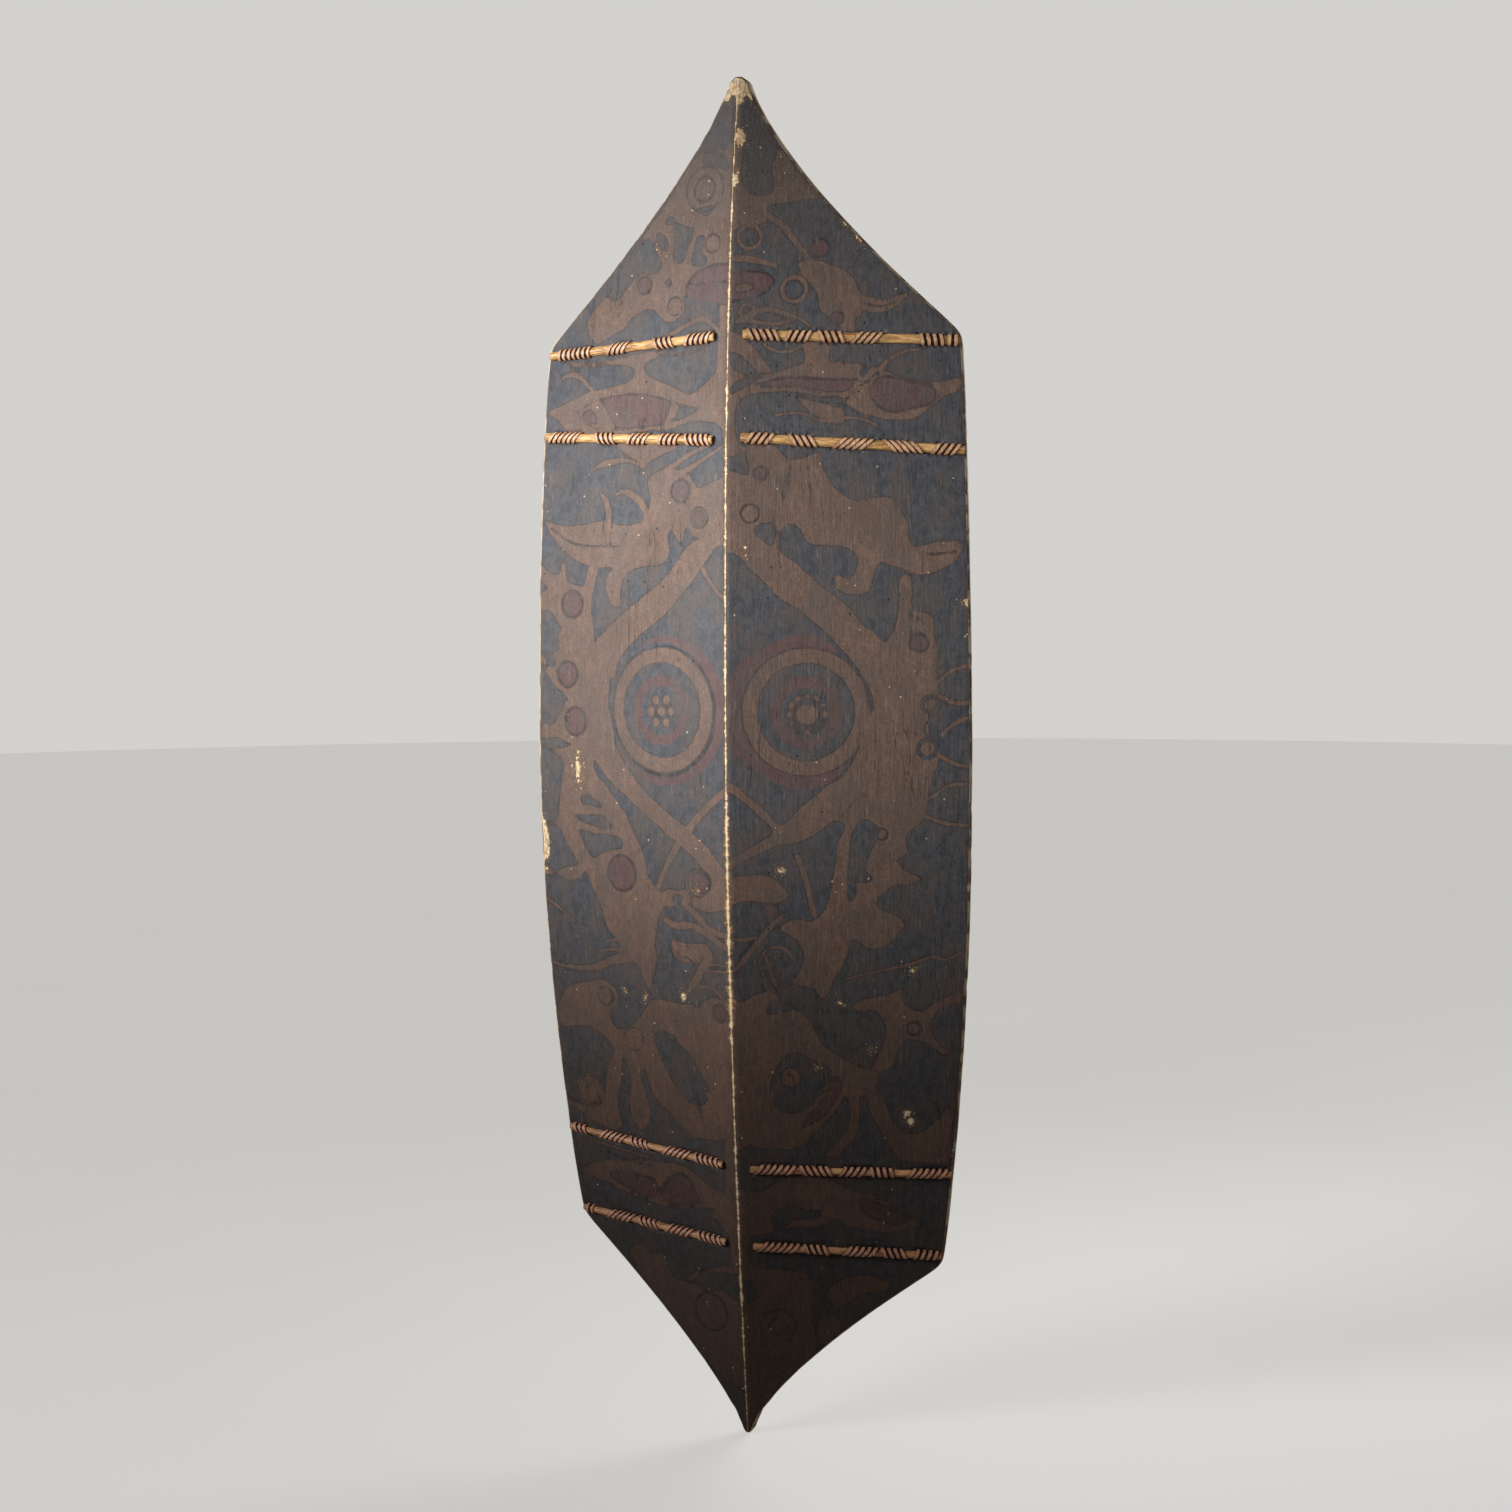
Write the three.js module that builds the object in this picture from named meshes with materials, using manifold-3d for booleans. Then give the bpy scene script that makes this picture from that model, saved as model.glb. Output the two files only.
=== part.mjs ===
// A carved wooden parrying shield of the long six-sided kind, in millimetres.
// The board is one plank, cut to a shallow V along an upright ridge, with its hand grip carved from
// the same block. Eight split-cane laths are sewn across its front face and eight across its back,
// each pair by one strand of cane that passes through holes in the wood.
// +Z runs up the shield, +X to the right as one looks at the painted face, and the painted face
// looks along -Y. The origin is the middle of the grip bar.
import * as THREE from "three";
import { mergeVertices } from "three/addons/utils/BufferGeometryUtils.js";
import Module from "manifold-3d";

const wasm = await Module();
wasm.setup();

// Outline of the board
const shieldLength = 1220;
const middleHalfWidth = 204.5;
const upperShoulderHalfWidth = 194;
const lowerShoulderHalfWidth = 174;
const upperShoulderHeight = 384;
const lowerShoulderDepthLeft = 426;
const lowerShoulderDepthRight = 450;
const upperTipHalfWidth = 8;
const lowerTipHalfWidth = 4;
const shoulderRounding = 6;
const upperHollowPower = 1.35;
const lowerHollowPowerLeft = 1.32;
const lowerHollowPowerRight = 1.42;

// Section of the board
const faceSlopeDegrees = 18.5;
const ridgeThickness = 13;
const edgeThickness = 7;
const upperTipSetBack = 49;
const lowerTipSetBack = 51;
const upperBowPower = 2.6;
const lowerBowPower = 1.6;

// Grip carved from the same block
const gripLength = 206;
const gripPostLength = 34;
const gripPostFlare = 9;
const gripBarThickness = 23;
const gripBarWidth = 27;
const gripEdgeRounding = 5;
const fingerGap = 37;
const gripRootDepth = 4;

// Split-cane laths
const lathWidth = 9;
const lathHeight = 4.2;
const lowerLathWidth = 7.8;
const lathRidgeGap = 12;
const lathEdgeInset = 1;
const seatGap = 0.3;

// Cane strand that sews each pair of laths on
const strandWidth = 3.5;
const strandThickness = 1.4;
const strandPitch = 5.7;
const strandClearance = 0.45;
const strandEndLength = 2;
const holeClearance = 0.4;
const ridgeEndMargin = 1.4;
const edgeEndMargin = 3.4;
const crownHalfShare = 0.56;

// Smoothness of the curved forms
const tipSteps = 9;
const sideSteps = 7;
const curveSteps = 4;
const lathSteps = 6;
const cutOverrun = 6;

const faceSlope = Math.tan(THREE.MathUtils.degToRad(faceSlopeDegrees));
const taper = (ridgeThickness - edgeThickness) / middleHalfWidth;
const halfLength = shieldLength / 2;
const gripInnerDepth = ridgeThickness + fingerGap;
const gripCentreDepth = gripInnerDepth + gripBarThickness / 2;

// Half width of the board at a height z on one side: side is 1 on the right and -1 on the left.
function halfWidthAt(z, side) {
  const up = z > 0;
  const lowerShoulderDepth = side > 0 ? lowerShoulderDepthRight : lowerShoulderDepthLeft;
  const shoulder = up ? upperShoulderHeight : lowerShoulderDepth;
  const shoulderHalfWidth = up ? upperShoulderHalfWidth : lowerShoulderHalfWidth;
  const tipHalfWidth = up ? upperTipHalfWidth : lowerTipHalfWidth;
  const along = Math.abs(z);
  const flank = middleHalfWidth - (middleHalfWidth - shoulderHalfWidth) * (along / shoulder) ** 2;
  const lowerHollowPower = side > 0 ? lowerHollowPowerRight : lowerHollowPowerLeft;
  const toTip = Math.max(0, halfLength - along) / (halfLength - shoulder);
  const hollow = toTip ** (up ? upperHollowPower : lowerHollowPower);
  const point = tipHalfWidth + (shoulderHalfWidth - tipHalfWidth) * hollow;
  return (flank + point - Math.hypot(flank - point, shoulderRounding)) / 2;
}

// Depth of the ridge line behind its foremost point, at a height z.
function ridgeDepthAt(z) {
  const share = Math.abs(z) / halfLength;
  return z > 0 ? upperTipSetBack * share ** upperBowPower : lowerTipSetBack * share ** lowerBowPower;
}

function frontDepthAt(x, z) {
  return ridgeDepthAt(z) + faceSlope * Math.abs(x);
}

function backDepthAt(x, z) {
  return frontDepthAt(x, z) + ridgeThickness - taper * Math.abs(x);
}

// Thickness of the wood square to its front face, at a distance x from the ridge.
function woodThicknessAt(x) {
  const slope = Math.atan(faceSlope);
  return (ridgeThickness - taper * Math.abs(x)) / (1 / Math.cos(slope) - taper * Math.sin(slope));
}

// A closed skin through rings of equal count, each end closed by a fan from the ring's corner fanFrom.
function closedSkin(rings, fanFrom = 0) {
  const count = rings[0].length;
  const positions = rings.flat().flatMap((p) => [p.x, p.y, p.z]);
  const index = [];
  for (let r = 0; r + 1 < rings.length; r++) {
    for (let k = 0; k < count; k++) {
      const next = (k + 1) % count;
      const [a, b, c, d] = [r * count + k, r * count + next, (r + 1) * count + next, (r + 1) * count + k];
      index.push(a, b, c, a, c, d);
    }
  }
  const last = (rings.length - 1) * count;
  for (let k = 1; k + 1 < count; k++) {
    const [p, q] = [(fanFrom + k) % count, (fanFrom + k + 1) % count];
    index.push(fanFrom, q, p);
    index.push(last + fanFrom, last + p, last + q);
  }
  const geometry = new THREE.BufferGeometry();
  geometry.setAttribute("position", new THREE.Float32BufferAttribute(positions, 3));
  geometry.setIndex(signedVolume(positions, index) < 0 ? index.reverse() : index);
  return geometry;
}

function signedVolume(positions, index) {
  const corner = (i) => new THREE.Vector3().fromArray(positions, 3 * i);
  let volume = 0;
  for (let i = 0; i < index.length; i += 3) {
    volume += corner(index[i]).dot(corner(index[i + 1]).cross(corner(index[i + 2])));
  }
  return volume;
}

function solidFrom(geometry) {
  const bare = geometry.clone();
  bare.deleteAttribute("normal");
  bare.deleteAttribute("uv");
  const merged = mergeVertices(bare);
  const vertProperties = merged.attributes.position.array;
  const triVerts = new Uint32Array(merged.index.array);
  return new wasm.Manifold(new wasm.Mesh({ numProp: 3, vertProperties, triVerts }));
}

function geometryFrom(solid) {
  const mesh = solid.getMesh();
  const geometry = new THREE.BufferGeometry();
  geometry.setAttribute("position", new THREE.BufferAttribute(mesh.vertProperties, 3));
  geometry.setIndex(new THREE.BufferAttribute(mesh.triVerts, 1));
  return geometry;
}

// Heights of the board's rings: close together at the tips and round the shoulders.
function ringHeights() {
  const heights = [0];
  const addSide = (sign, shoulders) => {
    const [near, far] = [Math.min(...shoulders), Math.max(...shoulders)];
    for (let i = 1; i < sideSteps; i++) heights.push(sign * ((near - shoulderRounding) * i) / sideSteps);
    for (const shoulder of shoulders) {
      for (const offset of [-1, 0, 1]) heights.push(sign * (shoulder + offset * shoulderRounding));
    }
    const start = far + shoulderRounding;
    for (let i = 1; i <= tipSteps; i++) heights.push(sign * (start + ((halfLength - start) * i) / tipSteps));
  };
  addSide(1, [upperShoulderHeight]);
  addSide(-1, [lowerShoulderDepthLeft, lowerShoulderDepthRight]);
  return heights.sort((a, b) => a - b);
}

// The V-shaped plank: six corners a ring, the ridge's own two among them.
function plankGeometry() {
  const rings = ringHeights().map((z) => {
    const [left, right] = [-halfWidthAt(z, -1), halfWidthAt(z, 1)];
    return [
      new THREE.Vector3(0, frontDepthAt(0, z), z),
      new THREE.Vector3(right, frontDepthAt(right, z), z),
      new THREE.Vector3(right, backDepthAt(right, z), z),
      new THREE.Vector3(0, backDepthAt(0, z), z),
      new THREE.Vector3(left, backDepthAt(left, z), z),
      new THREE.Vector3(left, frontDepthAt(left, z), z),
    ];
  });
  return closedSkin(rings);
}

// The grip: a bar on two posts, drawn from the side and given its width, with rounded edges.
function gripGeometry() {
  const top = gripLength / 2;
  const opening = top - gripPostLength;
  const rear = gripInnerDepth + gripBarThickness;
  const root = ridgeThickness - gripRootDepth;
  const side = new THREE.Shape();
  side.moveTo(-top - gripPostFlare, root);
  side.quadraticCurveTo(-top, gripInnerDepth, -top + gripPostFlare, rear - gripEdgeRounding);
  side.quadraticCurveTo(-top + gripPostFlare, rear, -opening, rear);
  side.lineTo(opening, rear);
  side.quadraticCurveTo(top - gripPostFlare, rear, top - gripPostFlare, rear - gripEdgeRounding);
  side.quadraticCurveTo(top, gripInnerDepth, top + gripPostFlare, root);
  side.lineTo(opening + gripPostFlare, root);
  side.quadraticCurveTo(opening, gripInnerDepth, opening - gripPostFlare, gripInnerDepth);
  side.lineTo(-opening + gripPostFlare, gripInnerDepth);
  side.quadraticCurveTo(-opening, gripInnerDepth, -opening - gripPostFlare, root);
  side.closePath();
  const geometry = new THREE.ExtrudeGeometry(side, {
    depth: gripBarWidth - 2 * gripEdgeRounding,
    bevelThickness: gripEdgeRounding,
    bevelSize: gripEdgeRounding,
    bevelOffset: -gripEdgeRounding,
    bevelSegments: 2,
    curveSegments: curveSteps,
  });
  geometry.translate(0, 0, gripEdgeRounding - gripBarWidth / 2);
  const axes = new THREE.Matrix4().makeBasis(
    new THREE.Vector3(0, 0, 1),
    new THREE.Vector3(0, 1, 0),
    new THREE.Vector3(-1, 0, 0),
  );
  return geometry.applyMatrix4(axes);
}

// One row per lath pair. Heights of its ends are shares of the half length, middleShares are the
// middles of its bindings as shares of its length from the ridge end, loops their counts, and
// leanShares how far their passes lean to the right from foot to head, as shares of the pitch.
const lathRows = [
  {
    name: "upper_outer_left",
    side: -1,
    width: lathWidth,
    ridgeHeightShare: 0.626,
    edgeHeightShare: 0.616,
    middleShares: [0.084, 0.295, 0.575, 0.805, 0.955],
    loops: [4, 4, 4, 3, 2],
    leanShares: [0.9, -1.9, 1.3, -1.4, 0],
  },
  {
    name: "upper_inner_left",
    side: -1,
    width: lathWidth,
    ridgeHeightShare: 0.479,
    edgeHeightShare: 0.495,
    middleShares: [0.078, 0.225, 0.41, 0.6, 0.86],
    loops: [4, 3, 3, 3, 4],
    leanShares: [-1, 1.4, 1.6, -2, 2.8],
  },
  {
    name: "upper_outer_right",
    side: 1,
    width: lathWidth,
    ridgeHeightShare: 0.628,
    edgeHeightShare: 0.618,
    middleShares: [0.07, 0.21, 0.4, 0.57, 0.83, 0.94],
    loops: [4, 3, 3, 3, 2, 3],
    leanShares: [-0.4, 0.8, -0.6, 1.7, -0.9, 0],
  },
  {
    name: "upper_inner_right",
    side: 1,
    width: lathWidth,
    ridgeHeightShare: 0.482,
    edgeHeightShare: 0.462,
    middleShares: [0.085, 0.275, 0.5, 0.735, 0.915],
    loops: [4, 3, 4, 4, 3],
    leanShares: [1.2, -1, 2.4, -2, 1.4],
  },
  {
    name: "lower_inner_left",
    side: -1,
    width: lowerLathWidth,
    ridgeHeightShare: -0.58,
    edgeHeightShare: -0.561,
    middleShares: [0.085, 0.302, 0.522, 0.738, 0.935],
    loops: [4, 4, 3, 3, 3],
    leanShares: [-1.5, 1.4, -0.3, 1.2, 0],
  },
  {
    name: "lower_outer_left",
    side: -1,
    width: lowerLathWidth,
    ridgeHeightShare: -0.7,
    edgeHeightShare: -0.689,
    middleShares: [0.078, 0.3, 0.53, 0.735, 0.95],
    loops: [4, 4, 3, 4, 2],
    leanShares: [-0.7, 1, -0.5, 1.9, 0],
  },
  {
    name: "lower_inner_right",
    side: 1,
    width: lowerLathWidth,
    ridgeHeightShare: -0.584,
    edgeHeightShare: -0.595,
    middleShares: [0.075, 0.247, 0.463, 0.65, 0.9],
    loops: [4, 3, 4, 3, 3],
    leanShares: [0.8, -0.6, 0.4, -0.3, 1.4],
  },
  {
    name: "lower_outer_right",
    side: 1,
    width: lowerLathWidth,
    ridgeHeightShare: -0.703,
    edgeHeightShare: -0.721,
    middleShares: [0.1, 0.3, 0.56, 0.74, 0.93],
    loops: [4, 3, 4, 2, 3],
    leanShares: [1.7, -0.6, 0.8, 0.2, 0.5],
  },
];

// The seat of a lath: its left end on the front face, its length, and its axes, a along the lath to
// the right, b up the face and c out of it.
function seatOf(row) {
  const [innerZ, outerZ] = [row.ridgeHeightShare * halfLength, row.edgeHeightShare * halfLength];
  const innerX = row.side * lathRidgeGap;
  const outerX = row.side * (halfWidthAt(outerZ, row.side) - lathEdgeInset);
  const inner = new THREE.Vector3(innerX, frontDepthAt(innerX, innerZ), innerZ);
  const outer = new THREE.Vector3(outerX, frontDepthAt(outerX, outerZ), outerZ);
  const [start, end] = row.side > 0 ? [inner, outer] : [outer, inner];
  const middle = start.clone().lerp(end, 0.5);
  const rise = frontDepthAt(middle.x, middle.z + lathWidth) - frontDepthAt(middle.x, middle.z - lathWidth);
  const a = end.clone().sub(start).normalize();
  const upFace = new THREE.Vector3(0, rise, 2 * lathWidth).normalize();
  const c = a.clone().cross(upFace).normalize();
  const b = c.clone().cross(a);
  return { start, a, b, c, length: start.distanceTo(end) };
}

function seatMatrix(seat) {
  return new THREE.Matrix4().makeBasis(seat.a, seat.b, seat.c).setPosition(seat.start);
}

// Distance from the ridge of a point at a along the lath.
function ridgeDistance(seat, a) {
  return seat.start.x + seat.a.x * a;
}

// Half-round split cane, flat side down, running along +X from the origin.
function lathGeometry(width, length) {
  const section = new THREE.Shape();
  section.moveTo(width / 2, 0);
  section.absellipse(0, 0, width / 2, lathHeight, 0, Math.PI);
  section.closePath();
  const lengthwise = { depth: length, bevelEnabled: false, curveSegments: lathSteps };
  const geometry = new THREE.ExtrudeGeometry(section, lengthwise);
  const axes = new THREE.Matrix4().makeBasis(
    new THREE.Vector3(0, 1, 0),
    new THREE.Vector3(0, 0, 1),
    new THREE.Vector3(1, 0, 0),
  );
  return geometry.applyMatrix4(axes);
}

// Middle of the strand in its holes, above and below the lath's own middle line.
function holeOffset(row) {
  return row.width / 2 + strandClearance + strandThickness / 2 + seatGap;
}

// The places along the lath where each pass over the front goes from its foot hole to its head hole,
// from left to right. A binding that would touch the one to its left starts a pitch after it.
function passesOf(row, seat) {
  const onRight = row.side > 0;
  const bindings = row.middleShares.map((share, g) => ({
    middle: (onRight ? share : 1 - share) * seat.length,
    count: row.loops[g],
    lean: row.leanShares[g] * strandPitch,
  }));
  bindings.sort((p, q) => p.middle - q.middle);
  let leftmost = (onRight ? ridgeEndMargin : edgeEndMargin) + strandWidth / 2;
  const rightmost = seat.length - (onRight ? edgeEndMargin : ridgeEndMargin) - strandWidth / 2;
  const passes = [];
  for (const { middle, count, lean } of bindings) {
    const span = (count - 1) * strandPitch + Math.abs(lean);
    const start = Math.max(leftmost, Math.min(middle - span / 2, rightmost - span));
    for (let i = 0; i < count; i++) {
      const foot = start + Math.max(0, -lean) + i * strandPitch;
      passes.push({ foot, head: foot + lean });
    }
    leftmost = start + span + strandPitch;
  }
  return passes;
}

// The strand's rings in the lath's own frame. It comes up through a foot hole, over the front lath,
// down through the head hole and over the back lath to the next foot hole.
function strandRings(row, seat) {
  const passes = passesOf(row, seat);
  const offset = holeOffset(row);
  const inner = offset - strandThickness / 2;
  const outer = offset + strandThickness / 2;
  const crown = crownHalfShare * (row.width / 2);
  const crest = seatGap + lathHeight + strandClearance;
  const rings = [];
  const addRing = (a, nearB, nearC, farB, farC) => {
    const [left, right] = [a - strandWidth / 2, a + strandWidth / 2];
    rings.push([
      new THREE.Vector3(left, nearB, nearC),
      new THREE.Vector3(right, nearB, nearC),
      new THREE.Vector3(right, farB, farC),
      new THREE.Vector3(left, farB, farC),
    ]);
  };
  const alongPass = (from, to, b) => THREE.MathUtils.mapLinear(b, -inner, inner, from, to);
  const depthAt = (a) => woodThicknessAt(ridgeDistance(seat, a));
  const addFront = (foot, head) => {
    addRing(foot, -inner, seatGap, -outer, strandThickness);
    addRing(alongPass(foot, head, -crown), -crown, crest, -crown - strandClearance, crest + strandThickness);
    addRing(alongPass(foot, head, crown), crown, crest, crown + strandClearance, crest + strandThickness);
    addRing(head, inner, seatGap, outer, strandThickness);
  };
  const addBack = (head, foot) => {
    const crownHead = alongPass(foot, head, crown);
    const crownFoot = alongPass(foot, head, -crown);
    addRing(head, inner, -depthAt(head) - seatGap, outer, -depthAt(head) - strandThickness);
    const headCrest = -depthAt(crownHead) - crest;
    addRing(crownHead, crown, headCrest, crown + strandClearance, headCrest - strandThickness);
    const footCrest = -depthAt(crownFoot) - crest;
    addRing(crownFoot, -crown, footCrest, -crown - strandClearance, footCrest - strandThickness);
    addRing(foot, -inner, -depthAt(foot) - seatGap, -outer, -depthAt(foot) - strandThickness);
  };
  const first = passes[0].foot;
  const last = passes[passes.length - 1].head;
  const firstEnd = -depthAt(first) - strandEndLength;
  const lastEnd = -depthAt(last) - strandEndLength;
  addRing(first, -inner, firstEnd, -outer, firstEnd);
  passes.forEach((pass, i) => {
    addFront(pass.foot, pass.head);
    if (i + 1 < passes.length) addBack(pass.head, passes[i + 1].foot);
  });
  addRing(last, inner, lastEnd, outer, lastEnd);
  return rings;
}

// Least gap between parts of one strand that aren't next to each other along it, measured between
// points spread over its rings and the stretches that join them.
function leastGap(rings) {
  const points = rings.slice(1).map((ring, i) => {
    const spread = [];
    for (const share of [0, 0.25, 0.5, 0.75]) {
      ring.forEach((p, k) => spread.push(rings[i][k].clone().lerp(p, share)));
    }
    return spread;
  });
  const apart = 3;
  let least = Infinity;
  for (let i = 0; i < points.length; i++) {
    for (let j = i + apart; j < points.length; j++) {
      for (const p of points[i]) for (const q of points[j]) least = Math.min(least, p.distanceTo(q));
    }
  }
  return least;
}

// A square-sided hole through the wood for one strand, in the lath's own frame.
function holeSolid(row, seat, place, b) {
  const depth = woodThicknessAt(ridgeDistance(seat, place));
  const width = strandWidth + 2 * holeClearance;
  const height = strandThickness + 2 * holeClearance;
  const box = new THREE.BoxGeometry(width, height, depth + 2 * cutOverrun);
  box.translate(place, b, -depth / 2);
  return solidFrom(box.applyMatrix4(seatMatrix(seat)));
}

function boardGeometry(seats) {
  const holes = lathRows.flatMap((row, i) =>
    passesOf(row, seats[i]).flatMap((pass) => [
      holeSolid(row, seats[i], pass.foot, -holeOffset(row)),
      holeSolid(row, seats[i], pass.head, holeOffset(row)),
    ]),
  );
  const carved = solidFrom(plankGeometry()).add(solidFrom(gripGeometry()));
  return geometryFrom(carved.subtract(wasm.Manifold.union(holes)));
}

const paintedWood = new THREE.MeshStandardMaterial({ color: 0x3b3330, roughness: 0.62, metalness: 0 });
const splitCane = new THREE.MeshStandardMaterial({ color: 0xb98a4e, roughness: 0.5, metalness: 0 });
const strandCane = new THREE.MeshStandardMaterial({ color: 0x8d5a44, roughness: 0.55, metalness: 0 });

function addMesh(parent, name, geometry, material) {
  const mesh = new THREE.Mesh(geometry, material);
  mesh.name = name;
  parent.add(mesh);
  return mesh;
}

// The two laths and the strand of one row, in a group that stands at the row's seat.
function addLathRow(parent, row, seat) {
  const group = new THREE.Group();
  group.applyMatrix4(seatMatrix(seat));
  parent.add(group);

  const front = addMesh(group, "front_lath_" + row.name, lathGeometry(row.width, seat.length), splitCane);
  front.position.z = seatGap;

  const startDepth = woodThicknessAt(ridgeDistance(seat, 0));
  const endDepth = woodThicknessAt(ridgeDistance(seat, seat.length));
  const back = addMesh(group, "back_lath_" + row.name, lathGeometry(row.width, seat.length), splitCane);
  back.position.z = -startDepth - seatGap;
  back.rotation.set(Math.PI, Math.atan2(startDepth - endDepth, seat.length), 0);

  const rings = strandRings(row, seat);
  addMesh(group, "lashing_" + row.name, closedSkin(rings), strandCane);
  console.log("lashing_" + row.name, "least gap to itself", leastGap(rings).toFixed(2), "mm");
}

function makeShield() {
  const shield = new THREE.Group();
  const atGrip = new THREE.Group();
  atGrip.position.y = -gripCentreDepth;
  shield.add(atGrip);
  const seats = lathRows.map(seatOf);
  addMesh(atGrip, "board", boardGeometry(seats), paintedWood);
  lathRows.forEach((row, i) => addLathRow(atGrip, row, seats[i]));
  return shield;
}

export default makeShield();
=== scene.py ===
# A long painted parrying shield of carved wood with split-cane laths sewn across its faces.
import math

import bmesh
import bpy
import numpy as np
from mathutils import Matrix, Vector, noise
from mathutils.geometry import delaunay_2d_cdt, tessellate_polygon


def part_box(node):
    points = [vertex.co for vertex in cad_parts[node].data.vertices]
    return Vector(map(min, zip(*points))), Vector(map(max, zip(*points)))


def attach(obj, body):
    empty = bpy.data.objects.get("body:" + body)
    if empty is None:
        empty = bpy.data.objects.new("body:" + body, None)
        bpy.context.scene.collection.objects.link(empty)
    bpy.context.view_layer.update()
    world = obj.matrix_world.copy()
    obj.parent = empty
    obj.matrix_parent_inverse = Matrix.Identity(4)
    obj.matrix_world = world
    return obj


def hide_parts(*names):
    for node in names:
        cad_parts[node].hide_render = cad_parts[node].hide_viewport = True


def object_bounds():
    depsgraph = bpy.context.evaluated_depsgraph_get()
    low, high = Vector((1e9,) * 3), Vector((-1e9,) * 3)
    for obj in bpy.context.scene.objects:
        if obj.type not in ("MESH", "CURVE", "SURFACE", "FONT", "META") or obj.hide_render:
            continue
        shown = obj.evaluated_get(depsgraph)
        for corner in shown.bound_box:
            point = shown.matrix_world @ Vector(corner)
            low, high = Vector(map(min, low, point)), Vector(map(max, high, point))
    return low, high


bl_info = {
    "name": "Painted parrying shield",
    "version": (1, 0, 0),
    "blender": (4, 5, 0),
    "location": "3D View > Sidebar > Shield",
    "description": "Builds a painted wooden shield with sewn cane laths around its packed frame",
    "category": "Object",
}

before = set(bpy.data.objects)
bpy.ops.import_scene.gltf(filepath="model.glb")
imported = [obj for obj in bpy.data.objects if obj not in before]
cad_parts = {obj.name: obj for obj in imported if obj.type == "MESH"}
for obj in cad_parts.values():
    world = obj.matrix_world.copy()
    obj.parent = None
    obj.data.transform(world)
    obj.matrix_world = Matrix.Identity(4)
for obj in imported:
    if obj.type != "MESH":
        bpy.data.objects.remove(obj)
CAD_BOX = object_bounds()
BOARD_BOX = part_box("board")

MM = 0.001
BODY = "root"

# Outline and section of the board, in millimetres, with the ridge at x = 0. A pair is for the
# upper half and the lower half, and -1 and 1 are the left and the right side
HALF_LENGTH = (BOARD_BOX[1][2] - BOARD_BOX[0][2]) / 2 / MM
MIDDLE_HALF_WIDTH = 204.5
SHOULDER_HALF_WIDTHS = (194.0, 174.0)
SHOULDER_HEIGHTS = {-1: (384.0, 426.0), 1: (384.0, 450.0)}
SHOULDER_ROUNDING = 6.0
TIP_HALF_WIDTHS = (8.0, 4.0)
TIP_ROUNDINGS = (7.0, 3.6)
HOLLOW_POWERS = {-1: (1.35, 1.32), 1: (1.35, 1.42)}
FACE_SLOPE = math.tan(math.radians(18.5))
RIDGE_THICKNESS = 13.0
EDGE_THICKNESS = 7.0
TAPER = (RIDGE_THICKNESS - EDGE_THICKNESS) / MIDDLE_HALF_WIDTH
TIP_SET_BACKS = (49.0, 51.0)
BOW_POWERS = (2.6, 1.6)
FACE_STRETCH = math.hypot(1, FACE_SLOPE)

# Grip, laths and strand, in millimetres
GRIP_LENGTH = 206.0
GRIP_POST = 34.0
GRIP_FLARE = 9.0
GRIP_BAR = 23.0
GRIP_WIDTH = 27.0
GRIP_ROUNDING = 5.0
FINGER_GAP = 37.0
GRIP_ROOT = 4.0
GRIP_INNER = RIDGE_THICKNESS + FINGER_GAP
GRIP_CENTRE = GRIP_INNER + GRIP_BAR / 2
LATH_HEIGHT = 3.7
LATH_SLIMNESS = (0.92, 0.86)
LATH_RIDGE_GAP = 12.0
LATH_EDGE_INSETS = {-1: 3.0, 1: 0.6}
SEAT_GAP = 0.3
STRAND_WIDTH = 3.5
STRAND_THICKNESS = 0.8
STRAND_PITCH = 5.7
STRAND_CLEARANCE = 0.08
STRAND_END = 2.0
RIDGE_END_MARGIN = 2.2
EDGE_END_MARGIN = 3.4

# Corners of a strand's hole, its margins round the strand, and how far it keeps other points away,
# each along the lath and then across it
HOLE_CORNERS = [(1, -0.45), (1, 0.45), (0.7, 1), (-0.7, 1), (-1, 0.45), (-1, -0.45), (-0.7, -1), (0.7, -1)]
HOLE_MARGINS = (0.25, 0.2)
HOLE_REACH = (3.2, 2.2)

# Wear of the rim and the ridge, tool marks of the back, and spacing of points on the back and along
# the painted outlines
RIM_WAVES = 0.6
RIM_CHIPS = 3.0
RIM_WEAR_MOST = 1.6
RIDGE_WEAR_WIDTH = 1.6
RIDGE_WEAR_DEPTH = 1.6
ADZE_DEPTH = 0.7
BACK_STEP = 9.0
LEAST_GAP = 1.0

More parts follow.
